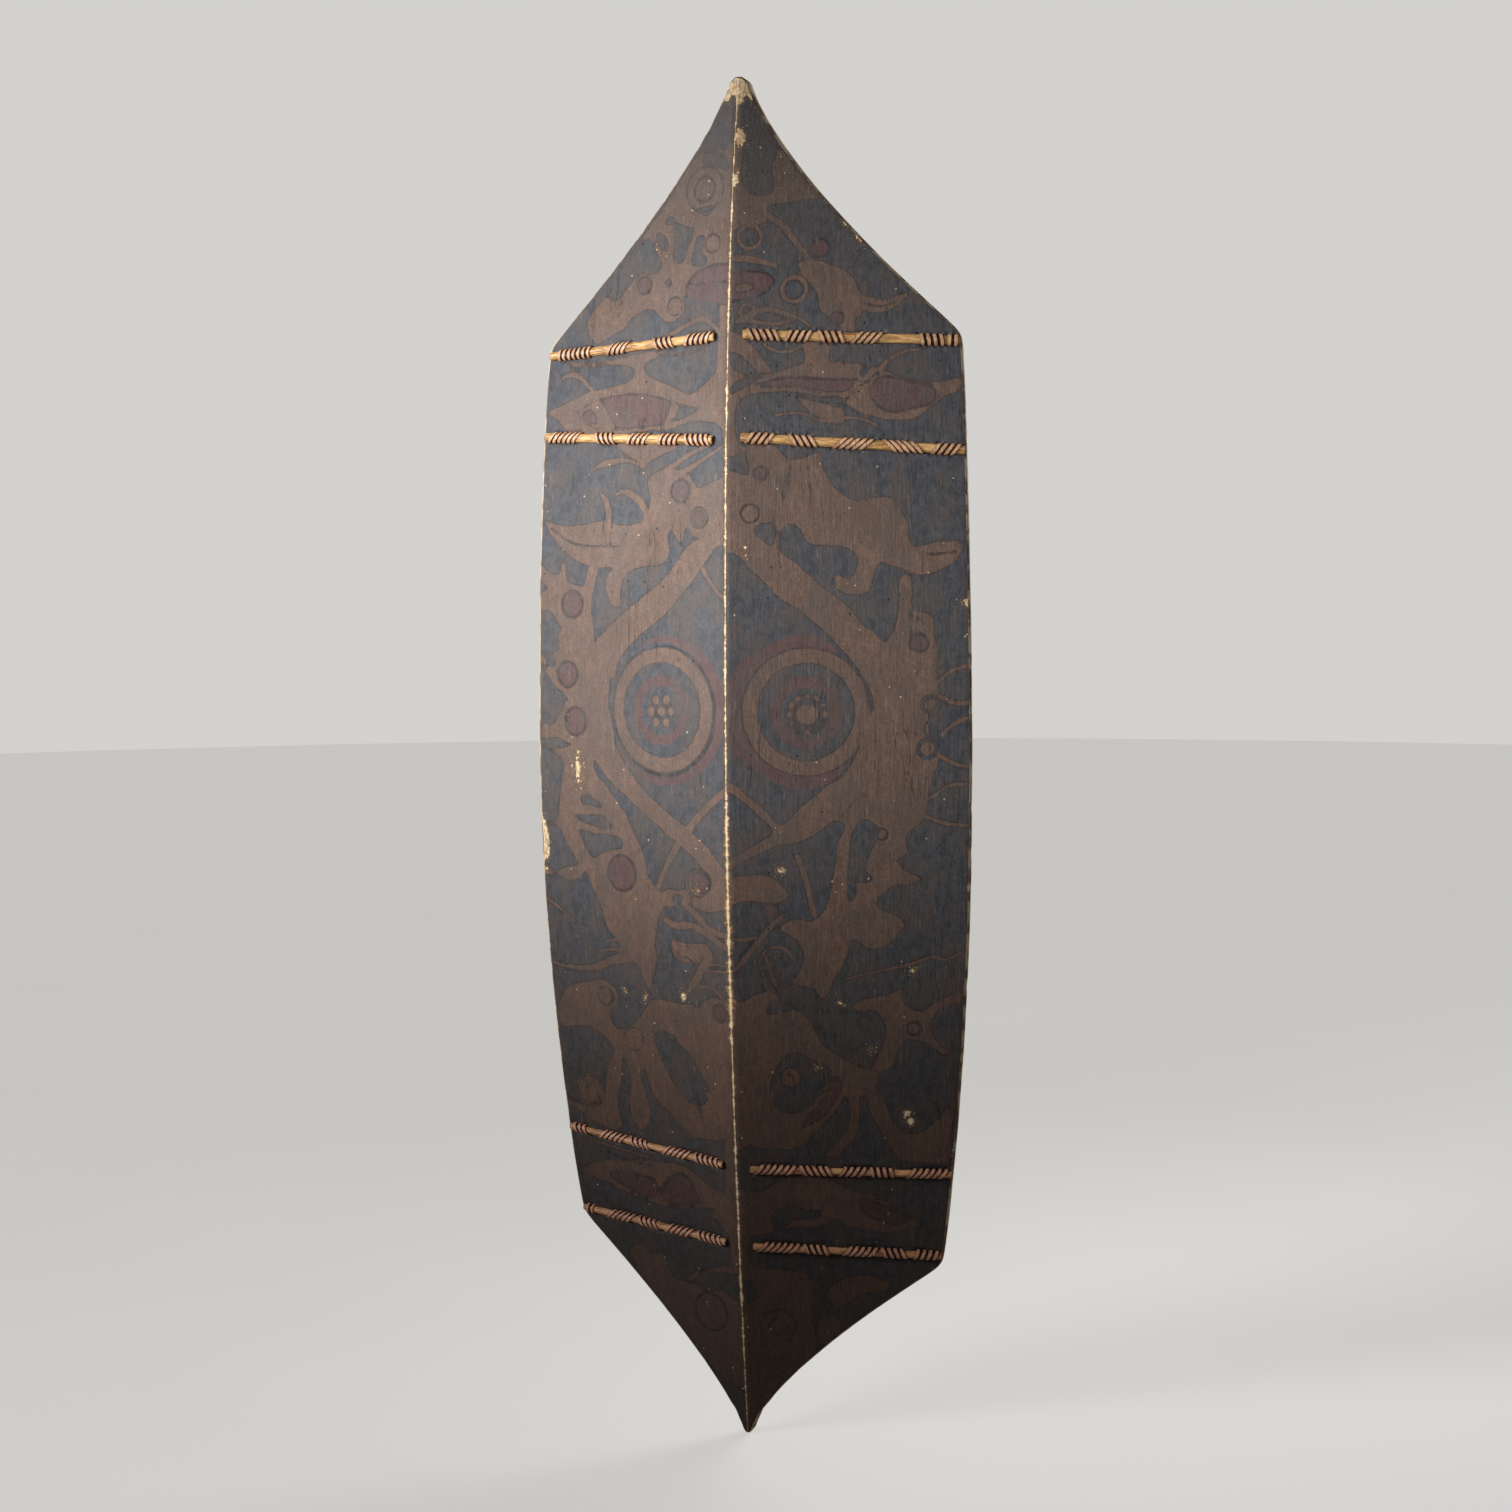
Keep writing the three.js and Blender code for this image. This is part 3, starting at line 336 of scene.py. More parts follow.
RIGHT_FACE = [
    ("fill", B, (0,548, 12,556, 25,560, 45,542, 62,520, 78,504, 62,500, 46,498, 34,496, 28,487, 14,480,
     0,478)),
    ("fill", G, (10,588, 22,572, 34,560, 38,545, 34,528, 36,510, 30,505, 16,506, 8,520, 10,550)),
    ("fill", B, (0,498, 10,497, 30,492, 32,482, 20,477, 0,478)),
    ("rings", B, (17,468,10,4)),
    ("band", B, (6, 6, 5), (32,487, 45,478, 52,470, 60,460, 68,450, 74,444)),
    ("fill", B, (60,445, 75,448, 90,443, 102,438, 110,430, 114,420, 118,412, 116,400, 110,394, 112,386,
     100,386, 96,392, 80,404, 76,420, 66,432)),
    ("fill", B, (110,418, 122,416, 135,413, 150,418, 158,420, 148,408, 138,403, 128,401, 118,404, 112,408)),
    ("band", D, (2, 1.6), (118,410, 132,407, 146,411)),
    ("discs", R, (79,458,7)),
    ("rings", D, (79,458,8,2)),
    ("rings", B, (57,422,10.5,4.5)),
    ("discs", G, (57,422,7.5)),
    ("rings", D, (57,422,8,1.6)),
    ("rings", B, (17,403,6,4)),
    ("discs", G, (17,403,3.5)),
    ("discs", R, (95,397,5)),
    ("rings", D, (95,397,6,1.8)),
    ("band", B, (6, 6, 5), (0,450, 20,448, 40,443)),
    ("fill", R, (-1,437, 20,438, 35,434, 38,428, 30,420, 15,415, -1,412)),
    ("fill", B, (4,424, 12,428, 21,426, 18,421, 8,420)),
    ("band", D, (2, 2), (0,437, 20,438, 35,435, 39,428, 31,419, 15,414, 0,411)),
    ("band", B, (5, 5, 3), (8,394, 20,401, 35,405, 50,401, 64,396, 72,390)),
    ("band", B, (4, 4, 3), (10,395, 25,394, 42,392, 58,396)),
    ("fill", B, (-1,386, 10,384, 18,377, 28,367, 36,357, 40,350, 30,350, 20,357, 10,366, -1,370)),
    ("band", B, (3, 3), (30,378, 35,372, 45,368, 57,369, 66,374)),
    ("fill", B, (66,376, 89,375, 89,361, 100,359, 118,357, 133,353, 142,350, 155,345, 172,342, 190,342,
     204,345, 203,335, 188,327, 175,317, 165,310, 150,308, 138,309, 128,312, 114,316, 104,323, 100,328,
     90,329, 75,330, 58,333, 40,333, 22,331, 14,327, 9,318, 8,305, 12,290, 20,283, -1,283, -1,360, 8,352,
     22,348, 40,350, 58,355, 68,360)),
    ("fill", G, (10,343, 20,346, 32,347, 24,342, 14,337, 4,331, 4,338)),
    ("fill", R, (30,338, 42,344, 62,345, 85,343, 110,343, 104,334, 84,334, 60,338)),
    ("band", D, (2.2, 2), (26,340, 42,344, 62,346, 88,344, 114,344)),
    ("band", D, (2, 2), (34,336, 56,337, 80,333, 100,333, 112,336)),
    ("fill", R, (126,338, 135,346, 150,344, 165,340, 178,338, 183,330, 176,322, 163,319, 148,316, 134,319,
     127,327)),
    ("band", D, (2, 2), (127,337, 136,346, 150,345, 166,341, 180,339)),
    ("band", D, (2, 2), (128,326, 136,318, 150,315, 164,318, 178,323, 186,330)),
    ("band", D, (2, 2), (104,326, 112,334, 122,342, 132,350, 136,356)),
    ("fill", G, (117,352, 124,356, 122,349, 118,345)),
    ("band", B, (5, 4, 2), (133,352, 141,361, 150,366, 160,369, 170,369)),
    ("fill", B, (62,328, 75,326, 90,322, 101,318, 102,306, 90,307, 78,313, 68,320)),
    ("band", B, (3, 2.4, 2), (44,313, 56,315, 68,314, 80,309, 96,306)),
    ("band", B, (3, 2.4, 2), (100,311, 114,310, 127,306, 137,300)),
    ("band", D, (2, 2), (60,329, 75,326, 90,323, 104,322)),
    ("fill", B, (18,286, 38,290, 48,281, 57,275, 70,277, 82,281, 84,270, 88,262, 95,251, 104,243, 115,239,
     126,241, 140,242, 148,238, 154,229, 160,219, 161,205, 168,199, 185,203, 204,203, 206,194, 200,185,
     190,179, 180,175, 168,174, 155,179, 145,182, 136,185, 131,176, 128,163, 122,158, 112,157, 101,160,
     96,168, 97,175, 108,171, 114,178, 116,188, 110,196, 98,200, 78,200, 70,206, 65,215, 56,219, 49,212,
     48,196, 60,187, 72,176, 84,165, 96,157, 110,145, 120,132, 130,125, 138,116, 143,119, 149,130, 152,145,
     153,171, 163,172, 164,146, 172,142, 181,138, 184,120, 187,106, 186,84, 187,66, 178,48, 173,38, 184,30,
     188,14, 182,-2, 178,-16, 177,-30, 172,-42, 164,-49, 158,-57, 160,-70, 150,-77, 162,-88, 172,-92,
     160,-98, 146,-100, 137,-107, 132,-114, 136,-120, 146,-124, 157,-133, 150,-142, 140,-152, 128,-156,
     116,-150, 110,-147, 106,-158, 100,-172, 92,-186, 86,-198, 80,-200, 75,-191, 60,-188, 52,-187, 60,-178,
     66,-166, 65,-156, 60,-147, 50,-140, 44,-136, 52,-131, 62,-128, 73,-130, 84,-122, 90,-108, 93,-92,
     96,-76, 98,-60, 104,-46, 96,-41, 86,-47, 76,-54, 62,-60, 50,-62, 34,-67, 16,-77, 0,-86, -1,-78, 14,-68,
     30,-58, 41,-50, 30,-38, 18,-26, 4,-16, -1,-14, -1,-5, 10,-9, 22,-20, 34,-30, 44,-42, 53,-42, 62,-32,
     74,-22, 88,-11, 102,-1, 112,12, 120,30, 126,50, 130,62, 124,80, 113,97, 104,107, 92,120, 78,133,
     62,146, 48,154, 36,167, 22,180, 10,193, -1,201, -1,262, 20,262)),
    ("fill", G, (27,216, 35,220, 44,218, 44,206, 40,200, 33,206, 27,210)),
    ("rings", D, (22,228,8,2.4, 31,263,6.5,1.8)),
    ("discs", R, (31,263,5.4)),
    ("band", D, (2, 1.6), (56,275, 57,266, 52,255, 50,243)),
    ("band", D, (2, 1.6), (72,262, 74,250, 74,238)),
    ("band", D, (2, 2), (166,193, 182,192, 202,194)),
    ("band", D, (2, 2), (161,200, 166,196, 168,206)),
    ("rings", D, (170,115,8.6,1.8)),
    ("discs", R, (170,115,7.6)),
    ("fill", D, (163,138, 170,137, 173,132, 167,134)),
    ("band", D, (2, 2), (163,146, 162,132, 163,120)),
    ("rings", G, (180,61,7,3, 177,22,8,3)),
    ("band", B, (4, 4, 3), (187,80, 198,90, 214,95)),
    ("band", B, (4, 4, 4), (188,68, 200,62, 214,62)),
    ("band", B, (4, 4, 3), (190,33, 198,42, 214,50)),
    ("band", B, (4, 4, 3), (187,17, 200,9, 214,6)),
    ("band", B, (4, 4, 3), (182,-20, 196,-11, 214,-9)),
    ("band", B, (5, 4, 4), (176,-38, 194,-44, 214,-46)),
    ("rings", D, (137,-53,5,2.4)),
    ("fill", G, (120,-40, 129,-42, 134,-50, 131,-60, 125,-74, 122,-84, 129,-93, 119,-96, 113,-92, 113,-108,
     107,-112, 106,-95, 108,-76, 110,-56, 114,-46)),
    ("band", D, (2, 2), (96,-42, 104,-34, 112,-26, 116,-20)),
    ("fill", G, (8,22, 4,60, 6,84, 16,101, 30,111, 50,121, 75,123, 92,115, 108,100, 118,85, 123,66, 120,42,
     112,18, 100,-2, 80,-12, 60,-13, 42,-6, 24,6)),
    ("fill", R, (3,26, 1,60, 4,84, 15,100, 30,110, 50,120, 72,123, 90,115, 104,103, 115,85, 119,62, 116,38,
     108,14, 96,-4, 80,-11, 60,-12, 44,-7, 28,2, 15,14)),
    ("rings", B, (71,55,49,14)),
    ("rings", G, (71,55,37,11)),
    ("rings", R, (71,55,26.5,9)),
    ("discs", G, (71,54,22)),
    ("petals", B, (72, 53), 16, 2.9, 12),
    ("discs", B, (72,53,9.5)),
    ("band", B, (5, 6, 5, 4), (47,-126, 36,-137, 26,-149, 16,-162, 4,-175)),
    ("band", D, (1.6, 1.6), (40,-126, 30,-137, 20,-149, 9,-163)),
    ("band", B, (3, 3, 2), (32,-160, 36,-172, 40,-185, 46,-198)),
    ("arc", B, (42, -168), (15, 3, 2.4, 1.6), (20, 300)),
    ("rings", B, (44,-167,6,2)),
    ("band", B, (2, 2.6, 2, 1.6), (29,-176, 34,-192, 44,-202, 58,-206)),
    ("band", B, (3, 4, 3), (0,-145, 14,-146, 24,-144)),
    ("fill", B, (2,-92, 16,-89, 30,-88, 42,-92, 50,-100, 54,-108, 44,-114, 28,-113, 12,-112, 2,-116)),
    ("discs", R, (38,-121,6)),
    ("rings", D, (38,-121,7,1.6)),
    ("fill", G, (50,-86, 60,-92, 70,-98, 74,-110, 66,-112, 58,-106, 52,-98)),
    ("band", B, (6, 6, 6, 5), (62,-72, 68,-88, 72,-104, 76,-124)),
    ("band", D, (1.4, 2, 1.4), (52,277, 57,262, 50,237, 43,222, 46,203, 48,182)),
    ("band", B, (2, 3, 4, 3), (100,-183, 126,-177, 150,-172, 166,-168, 180,-163, 192,-166, 205,-160)),
    ("fill", B, (108,-206, 122,-200, 136,-198, 146,-194, 156,-190, 152,-199, 158,-208, 170,-212, 180,-205,
     190,-200, 206,-195, 205,-203, 195,-208, 185,-212, 180,-219, 178,-228, 181,-236, 189,-245, 198,-250,
     188,-252, 180,-246, 170,-240, 158,-238, 151,-242, 147,-252, 142,-262, 134,-268, 128,-272, 124,-264,
     130,-252, 135,-240, 138,-228, 134,-217, 126,-211, 116,-212)),
    ("rings", D, (163,-228,6,3)),
    ("fill", B, (-1,-207, 10,-203, 22,-196, 35,-193, 44,-199, 34,-205, 32,-214, 45,-212, 57,-210, 66,-215,
     72,-223, 76,-233, 82,-242, 90,-249, 102,-256, 114,-262, 124,-266, 131,-275, 129,-283, 136,-296,
     141,-310, 148,-320, 160,-325, 172,-320, 184,-310, 192,-300, 196,-312, 194,-332, 191,-352, 150,-350,
     140,-338, 132,-324, 124,-308, 118,-292, 114,-290, 113,-304, 111,-320, 104,-333, 92,-345, 80,-345,
     90,-333, 101,-320, 104,-304, 101,-290, 94,-301, 86,-311, 76,-320, 64,-332, 50,-338, 30,-338, 14,-335,
     -1,-330)),
    ("fill", G, (34,-278, 40,-263, 48,-253, 60,-250, 72,-256, 86,-262, 86,-272, 80,-282, 72,-292, 64,-299,
     52,-305, 42,-302, 34,-291)),
    ("discs", B, (52,-272,8.5)),
    ("arc", D, (51, -274), (4.4, 1.6, 1.6), (-70, 190)),
    ("band", D, (3, 2, 1.4), (100,-290, 92,-303, 79,-316, 62,-331)),
    ("fill", R, (90,-271, 98,-278, 92,-292, 84,-304, 74,-312, 62,-318, 66,-308, 76,-298, 84,-286)),
    ("band", D, (2, 2), (88,-264, 88,-273, 80,-286, 70,-297, 56,-305)),
    ("band", D, (2, 2), (162,-293, 176,-294, 184,-302, 184,-316)),
    ("band", B, (2.4, 2), (78,-198, 80,-214, 78,-232)),
    ("fill", B, (-1,-376, 20,-378, 38,-368, 60,-362, 84,-366, 100,-375, 116,-380, 131,-384, 141,-392,
     152,-400, 166,-411, 150,-415, 134,-418, 116,-414, 98,-411, 88,-404, 76,-410, 50,-412, 30,-416,
     -1,-418)),
    ("fill", G, (30,-402, 40,-393, 50,-391, 62,-395, 76,-396, 72,-403, 60,-405, 50,-404, 42,-411, 34,-413)),
    ("band", D, (2, 2), (88,-371, 104,-378, 120,-383, 134,-388)),
    ("fill", R, (112,-386, 124,-388, 140,-396, 154,-406, 140,-410, 122,-404, 112,-396)),
    ("fill", B, (-1,-415, 12,-414, 8,-430, 8,-452, -1,-452)),
    ("fill", B, (-1,-452, 20,-450, 44,-452, 62,-458, 66,-475, 64,-500, 66,-528, 48,-548, 30,-566, 12,-588,
     -1,-600)),
    ("fill", G, (4,-462, 12,-464, 14,-478, 6,-484, 3,-474)),
    ("arc", D, (33, -506), (16, 2.4, 2, 2), (-60, 200)),
    ("arc", D, (33, -506), (8, 2.2, 2), (100, 380)),
    ("fill", B, (80,-470, 95,-461, 110,-457, 126,-461, 137,-468, 126,-474, 110,-476, 100,-482, 88,-488,
     80,-480)),
    ("fill", B, (70,-500, 84,-497, 92,-505, 84,-516, 74,-524, 68,-515)),
    ("fill", W, (-2,589, 4,585, 8,592, 20,588, 20,625, -2,625)),
    ("fill", W, (1,562, 6,563, 9,557, 8,550, 4,547, 1,552)),
    ("fill", W, (1,526, 4,527, 5,517, 2,512, 0,515)),
    ("fill", W, (72,508, 76,507, 82,500, 84,508, 76,516)),
    ("fill", W, (97,481, 101,477, 106,474, 112,464, 122,464, 108,490)),
    ("fill", W, (152,-304, 156,-303, 158,-309, 162,-314, 158,-317, 153,-312)),
    ("fill", W, (43,-84, 48,-82, 52,-85, 47,-87)),
    ("band", W, (1, 1), (96,-203, 101,-207)),
    ("fill", W, (16,200, 18,190, 19,189, 18,200)),
    ("fill", W, (205,150, 208,149, 220,140, 220,156)),
    ("discs", W, (100,165,1.4, 163,-175,1.6, 124,-246,1.6, 76,-263,1.8)),
]


def by_half(z, pair):
    """The first of a pair in the upper half and the second in the lower half."""
    return np.where(np.asarray(z) > 0, *pair)


def half_width(z, side):
    """From the ridge to the edge of one side, at a height."""
    z = np.asarray(z, float)
    shoulder, power = by_half(z, SHOULDER_HEIGHTS[side]), by_half(z, HOLLOW_POWERS[side])
    shoulder_half, tip_half = by_half(z, SHOULDER_HALF_WIDTHS), by_half(z, TIP_HALF_WIDTHS)
    flank = MIDDLE_HALF_WIDTH - (MIDDLE_HALF_WIDTH - shoulder_half) * (np.abs(z) / shoulder) ** 2
    to_tip = np.maximum(0, HALF_LENGTH - np.abs(z)) / (HALF_LENGTH - shoulder)
    point = tip_half + (shoulder_half - tip_half) * to_tip ** power
    return (flank + point - np.hypot(flank - point, SHOULDER_ROUNDING)) / 2


def front_depth(x, z):
    """How far the painted face lies behind the middle of its ridge."""
    x, z = np.asarray(x, float), np.asarray(z, float)
    share = np.abs(z) / HALF_LENGTH
    bow = by_half(z, [back * share ** power for back, power in zip(TIP_SET_BACKS, BOW_POWERS)])
    return bow + FACE_SLOPE * np.abs(x)


def back_depth(x, z):
    return front_depth(x, z) + RIDGE_THICKNESS - TAPER * np.abs(x)


def wood_thickness(x):
    slope = math.atan(FACE_SLOPE)
    return (RIDGE_THICKNESS - TAPER * abs(x)) / (1 / math.cos(slope) - TAPER * math.sin(slope))


def in_frame(points):
    """Points in millimetres from the ridge become metres in the model's frame."""
    return (np.asarray(points, float) - (0, GRIP_CENTRE, 0)) * MM


def linked(name, data):
    """An object that holds the data, in the scene."""
    made = bpy.data.objects.new(name, data)
    bpy.context.scene.collection.objects.link(made)
    return made


def mesh_object(name, points, faces, materials):
    mesh = bpy.data.meshes.new(name)
    mesh.from_pydata(in_frame(points).tolist(), [], faces)
    for material in materials:
        mesh.materials.append(material)
    mesh.shade_smooth()
    mesh.update()
    return linked(name, mesh)


def store(mesh, name, values, kind="FLOAT"):
    attribute = mesh.attributes.new(name, kind, "POINT")
    field = "vector" if kind == "FLOAT_VECTOR" else "value"
    attribute.data.foreach_set(field, np.asarray(values, np.float32).ravel())


class Seat:
    """Where a pair of laths lies: its left end on the front face, its length and its axes."""

    def __init__(self, side, width, heights, middles, loops, leans):
        self.side = side
        ends = []
        inner_z, outer_z = (share * HALF_LENGTH for share in heights)
        edge = float(half_width(outer_z, side) - LATH_EDGE_INSETS[side])
        for x, z in ((side * LATH_RIDGE_GAP, inner_z), (side * edge, outer_z)):
            ends.append(Vector((x, front_depth(x, z), z)))
        self.start, end = ends[::side]
        middle = self.start.lerp(end, 0.5)
        reach = 9.0
        rise = front_depth(middle.x, middle.z + reach) - front_depth(middle.x, middle.z - reach)
        self.a = (end - self.start).normalized()
        self.c = self.a.cross(Vector((0, float(rise), 2 * reach)).normalized()).normalized()
        self.b = self.c.cross(self.a)
        self.length = (end - self.start).length
        self.width = width * float(by_half(inner_z, LATH_SLIMNESS))
        self.hole_offset = self.width / 2 + STRAND_CLEARANCE + STRAND_THICKNESS / 2 + SEAT_GAP
        self.bindings = self.wound(middles, loops, leans)
        self.passes = [one for binding in self.bindings for one in binding]

    def depth(self, a):
        return wood_thickness(self.start.x + self.a.x * a)

    def place(self, a, b, c):
        return self.start + self.a * a + self.b * b + self.c * c

    def wound(self, middles, loops, leans):
        """Foot and head of each pass of the strand over the front, by binding, from left to right."""
        rows = [(share if self.side > 0 else 1 - share, count, lean * STRAND_PITCH)
                for share, count, lean in zip(middles, loops, leans)]
        margins = (RIDGE_END_MARGIN, EDGE_END_MARGIN)[::self.side]
        leftmost = margins[0] + STRAND_WIDTH / 2
        rightmost = self.length - margins[1] - STRAND_WIDTH / 2
        found = []
        for share, count, lean in rows[::self.side]:
            span = (count - 1) * STRAND_PITCH + abs(lean)
            start = max(leftmost, min(share * self.length - span / 2, rightmost - span))
            feet = [start + max(0, -lean) + i * STRAND_PITCH for i in range(count)]
            found.append([(foot, foot + lean) for foot in feet])
            leftmost = start + span + STRAND_PITCH
        return found


SEATS = {name: Seat(*row) for name, row in LATH_ROWS.items()}


def smoothed(points, closed, steps=4):
    """A curve through the points, with a few steps between each two."""
    p = np.asarray(points, float)
    if closed:
        p = np.vstack([p[-1:], p, p[:2]])
    else:
        p = np.vstack([2 * p[0] - p[1], p, 2 * p[-1] - p[-2]])
    t = (np.arange(steps) / steps)[:, None]
    parts = []
    for a, b, c, d in zip(p, p[1:], p[2:], p[3:]):
        parts.append(0.5 * (2 * b + (c - a) * t + (2 * a - 5 * b + 4 * c - d) * t**2
                            + (3 * b - 3 * c + d - a) * t**3))
    return np.vstack(parts if closed else [*parts, p[-2:-1]])


def distances(line):
    """How far each point of a line is from its start, along the line."""
    return np.concatenate([[0], np.cumsum(np.hypot(*np.diff(line, axis=0).T))])


def resampled(line, step):
    along = distances(line)
    at = np.linspace(0, along[-1], max(3, int(along[-1] / step) + 1))
    return np.stack([np.interp(at, along, line[:, k]) for k in (0, 1)], 1)


def half_widths(line, widths):
    """Half the width of a stroke at each point of its middle line."""
    along = distances(line)
    return np.interp(along, np.linspace(0, along[-1], len(widths)), widths) / 2


def turned_left(along):
    """Unit directions, a quarter turn to the left of the given ones."""
    across = np.stack([-along[:, 1], along[:, 0]], 1)
    return across / np.maximum(np.hypot(*across.T), 1e-9)[:, None]


def inset(loop, amount):
    """The loop with each point moved in by an amount, where it runs anticlockwise."""
    along = np.roll(loop, -1, 0) - np.roll(loop, 1, 0)
    return loop + turned_left(along) * np.reshape(amount, (-1, 1))


def on_circle(centre, radius, angles):
    """Places at some angles round a centre."""
    return np.stack([centre[0] + radius * np.cos(angles), centre[1] + radius * np.sin(angles)], 1)


class Shape:
    """One painted shape: how far a point lies inside it, and points that its edge runs through."""

    def __init__(self, kind, colour, *rest):
        self.colour, self.closed = colour, kind == "fill"
        self.line, self.half, self.discs = None, None, []
        if kind == "fill":
            self.line = smoothed(rest[0], True)
        elif kind == "band":
            widths, points = rest
            self.line = smoothed(points, False)
        elif kind == "arc":
            centre, (radius, *widths), (start, end) = rest
            self.line = on_circle(centre, radius, np.radians(np.linspace(start, end, 48)))
        elif kind == "discs":
            self.discs = [((s, z), radius, 0) for s, z, radius in np.reshape(rest[0], (-1, 3)).tolist()]
        elif kind == "rings":
            self.discs = [((s, z), radius - width / 2, width)
                          for s, z, radius, width in np.reshape(rest[0], (-1, 4)).tolist()]
        elif kind == "petals":
            (cs, cz), ring, radius, count = rest
            angles = np.arange(count) * 2 * math.pi / count
            self.discs = [((cs + ring * math.cos(t), cz + ring * math.sin(t)), radius, 0) for t in angles]
        if kind in ("band", "arc"):
            self.half = half_widths(self.line, widths)

    def box(self, margin):
        corners = self.line
        if corners is None:
            corners = np.array([np.add(centre, sign * (radius + width))
                                for centre, radius, width in self.discs for sign in (-1, 1)])
        elif self.half is not None:
            margin += self.half.max()
        return corners.min(0) - margin, corners.max(0) + margin

    def inside(self, s, z):
        best = np.full(s.shape, -1e3)
        for (cs, cz), radius, width in self.discs:
            out = np.hypot(s - cs, z - cz)
            deep = width / 2 - np.abs(out - (radius + width / 2)) if width else radius - out
            best = np.maximum(best, deep)
        if self.line is None:
            return best
        line = np.vstack([self.line, self.line[:1]]) if self.closed else self.line
        within = np.zeros(s.shape, bool)
        best = -best
        for i, ((s0, z0), (s1, z1)) in enumerate(zip(line, line[1:])):
            ds, dz = s1 - s0, z1 - z0
            t = np.clip(((s - s0) * ds + (z - z0) * dz) / max(ds * ds + dz * dz, 1e-9), 0, 1)
            away = np.hypot(s - s0 - t * ds, z - z0 - t * dz)
            if self.half is not None:
                away = away - (self.half[i] + t * (self.half[i + 1] - self.half[i]))
            best = np.minimum(best, away)
            if self.closed and dz:
                within ^= ((z0 > z) != (z1 > z)) & (s < s0 + (z - z0) * ds / dz)
        return np.where(within, best, -best)

    def edge_points(self, step):
        found = []
        if self.closed:
            found.append(resampled(np.vstack([self.line, self.line[:1]]), step))
        elif self.line is not None:
            middle = resampled(self.line, step)
            share = np.linspace(0, 1, len(middle))
            half = np.interp(share, np.linspace(0, 1, len(self.half)), self.half)[:, None]
            across = turned_left(np.gradient(middle, axis=0)) * half
            found += [middle + across, middle - across, middle]
        for centre, radius, width in self.discs:
            for r in [radius, radius + width / 2, radius + width] if width else [radius]:
                found.append(on_circle(centre, r, np.arange(0, 2 * math.pi, step / max(r, step))))
        return np.vstack(found)


def shapes_of(face, side, past=4.0):
    """The shapes of one face. Whatever touches the ridge is drawn a little past it."""
    found = []
    for kind, colour, *rest in face:
        if kind in ("fill", "band"):
            points = np.reshape(rest.pop(), (-1, 2)).astype(float)
            points[points[:, 0] * side <= 0, 0] = -side * past
            rest.append(points)
        found.append(Shape(kind, colour, *rest))
    return found


FACES = {-1: shapes_of(LEFT_FACE, -1), 1: shapes_of(RIGHT_FACE, 1)}


def painted(s, z, reach=9.0):
    """How deep each point lies inside each colour of the painting, in millimetres."""
    depth = {name: np.full(s.shape, -reach) for name in (B, R, D, W)}
    for side, shapes in FACES.items():
        on_side = s * side >= 0
        for shape in shapes:
            low, high = shape.box(reach)
            near = np.flatnonzero(on_side & (s > low[0]) & (s < high[0]) & (z > low[1]) & (z < high[1]))
            if not len(near):
                continue
            inside = shape.inside(s[near], z[near])
            for name, values in depth.items():
                if name == shape.colour:
                    values[near] = np.maximum(values[near], inside)
                elif shape.colour not in (D, W):
                    values[near] = np.minimum(values[near], -inside)
    return {name: np.clip(values, -reach, reach) for name, values in depth.items()}


def uneven(values, scale, seed):
    """Smooth random numbers from -1 to 1 along a list of places."""
    return np.array([noise.noise(Vector((v * scale, seed, 0))) for v in values])


def outline(step=3.0):
    """The board's outline as x and z, anticlockwise from the bottom tip."""
    inner = HALF_LENGTH - 4 * step
    heights = np.linspace(-inner, inner, int(2 * inner / step) + 1)
    ends = np.linspace(inner, HALF_LENGTH, 13)[1:]
    heights = np.concatenate([-ends[::-1], heights, ends])
    radius = by_half(heights, TIP_ROUNDINGS)
    into = np.clip((np.abs(heights) - HALF_LENGTH + radius) / radius, 0, 1)
    worn_round = np.sqrt(np.maximum(0.1, 1 - into**2))
    right, left = (np.stack([side * half_width(heights, side) * worn_round, heights], 1) for side in (1, -1))
    return np.vstack([right, left[::-1]])


def hole_loops():
    """Each hole of the strand: its loop on the front face and on the back, as x and z."""
    half_a, half_b = STRAND_WIDTH / 2 + HOLE_MARGINS[0], STRAND_THICKNESS / 2 + HOLE_MARGINS[1]
    found = []
    for seat in SEATS.values():
        for i, a in enumerate(a for foot_and_head in seat.passes for a in foot_and_head):
            b = seat.hole_offset if i % 2 else -seat.hole_offset
            for c in (0, -seat.depth(a)):
                corners = [seat.place(a + u * half_a, b + v * half_b, c) for u, v in HOLE_CORNERS]
                found.append([(p.x, p.z) for p in corners])
    return found[::2], found[1::2]


def meshed(rim, loops, inner, tops):
    """Triangles between the rim and the hole loops, through the inner points and the ridge line."""
    points, edges = [], []
    for line in (rim, *loops, [(0.0, z) for z in tops]):
        first, count = len(points), len(line)
        points += [tuple(p) for p in line]
        edges += [(first + i, first + (i + 1) % count) for i in range(count)]
    # The ridge line stays open
    edges.pop()
    points += [tuple(p) for p in inner]
    found, _, faces, origins, *_ = delaunay_2d_cdt([Vector(p) for p in points], edges, [], 1, 1e-5)
    place = {old: new for new, olds in enumerate(origins) for old in olds}
    corners = len(HOLE_CORNERS)
    owner = {place[len(rim) + i]: i // corners for i in range(corners * len(loops))}
    open_faces = [f for f in faces if owner.get(f[0], -1) < 0 or len({owner.get(i, -1) for i in f}) > 1]
    return np.array([tuple(p) for p in found]), open_faces, place


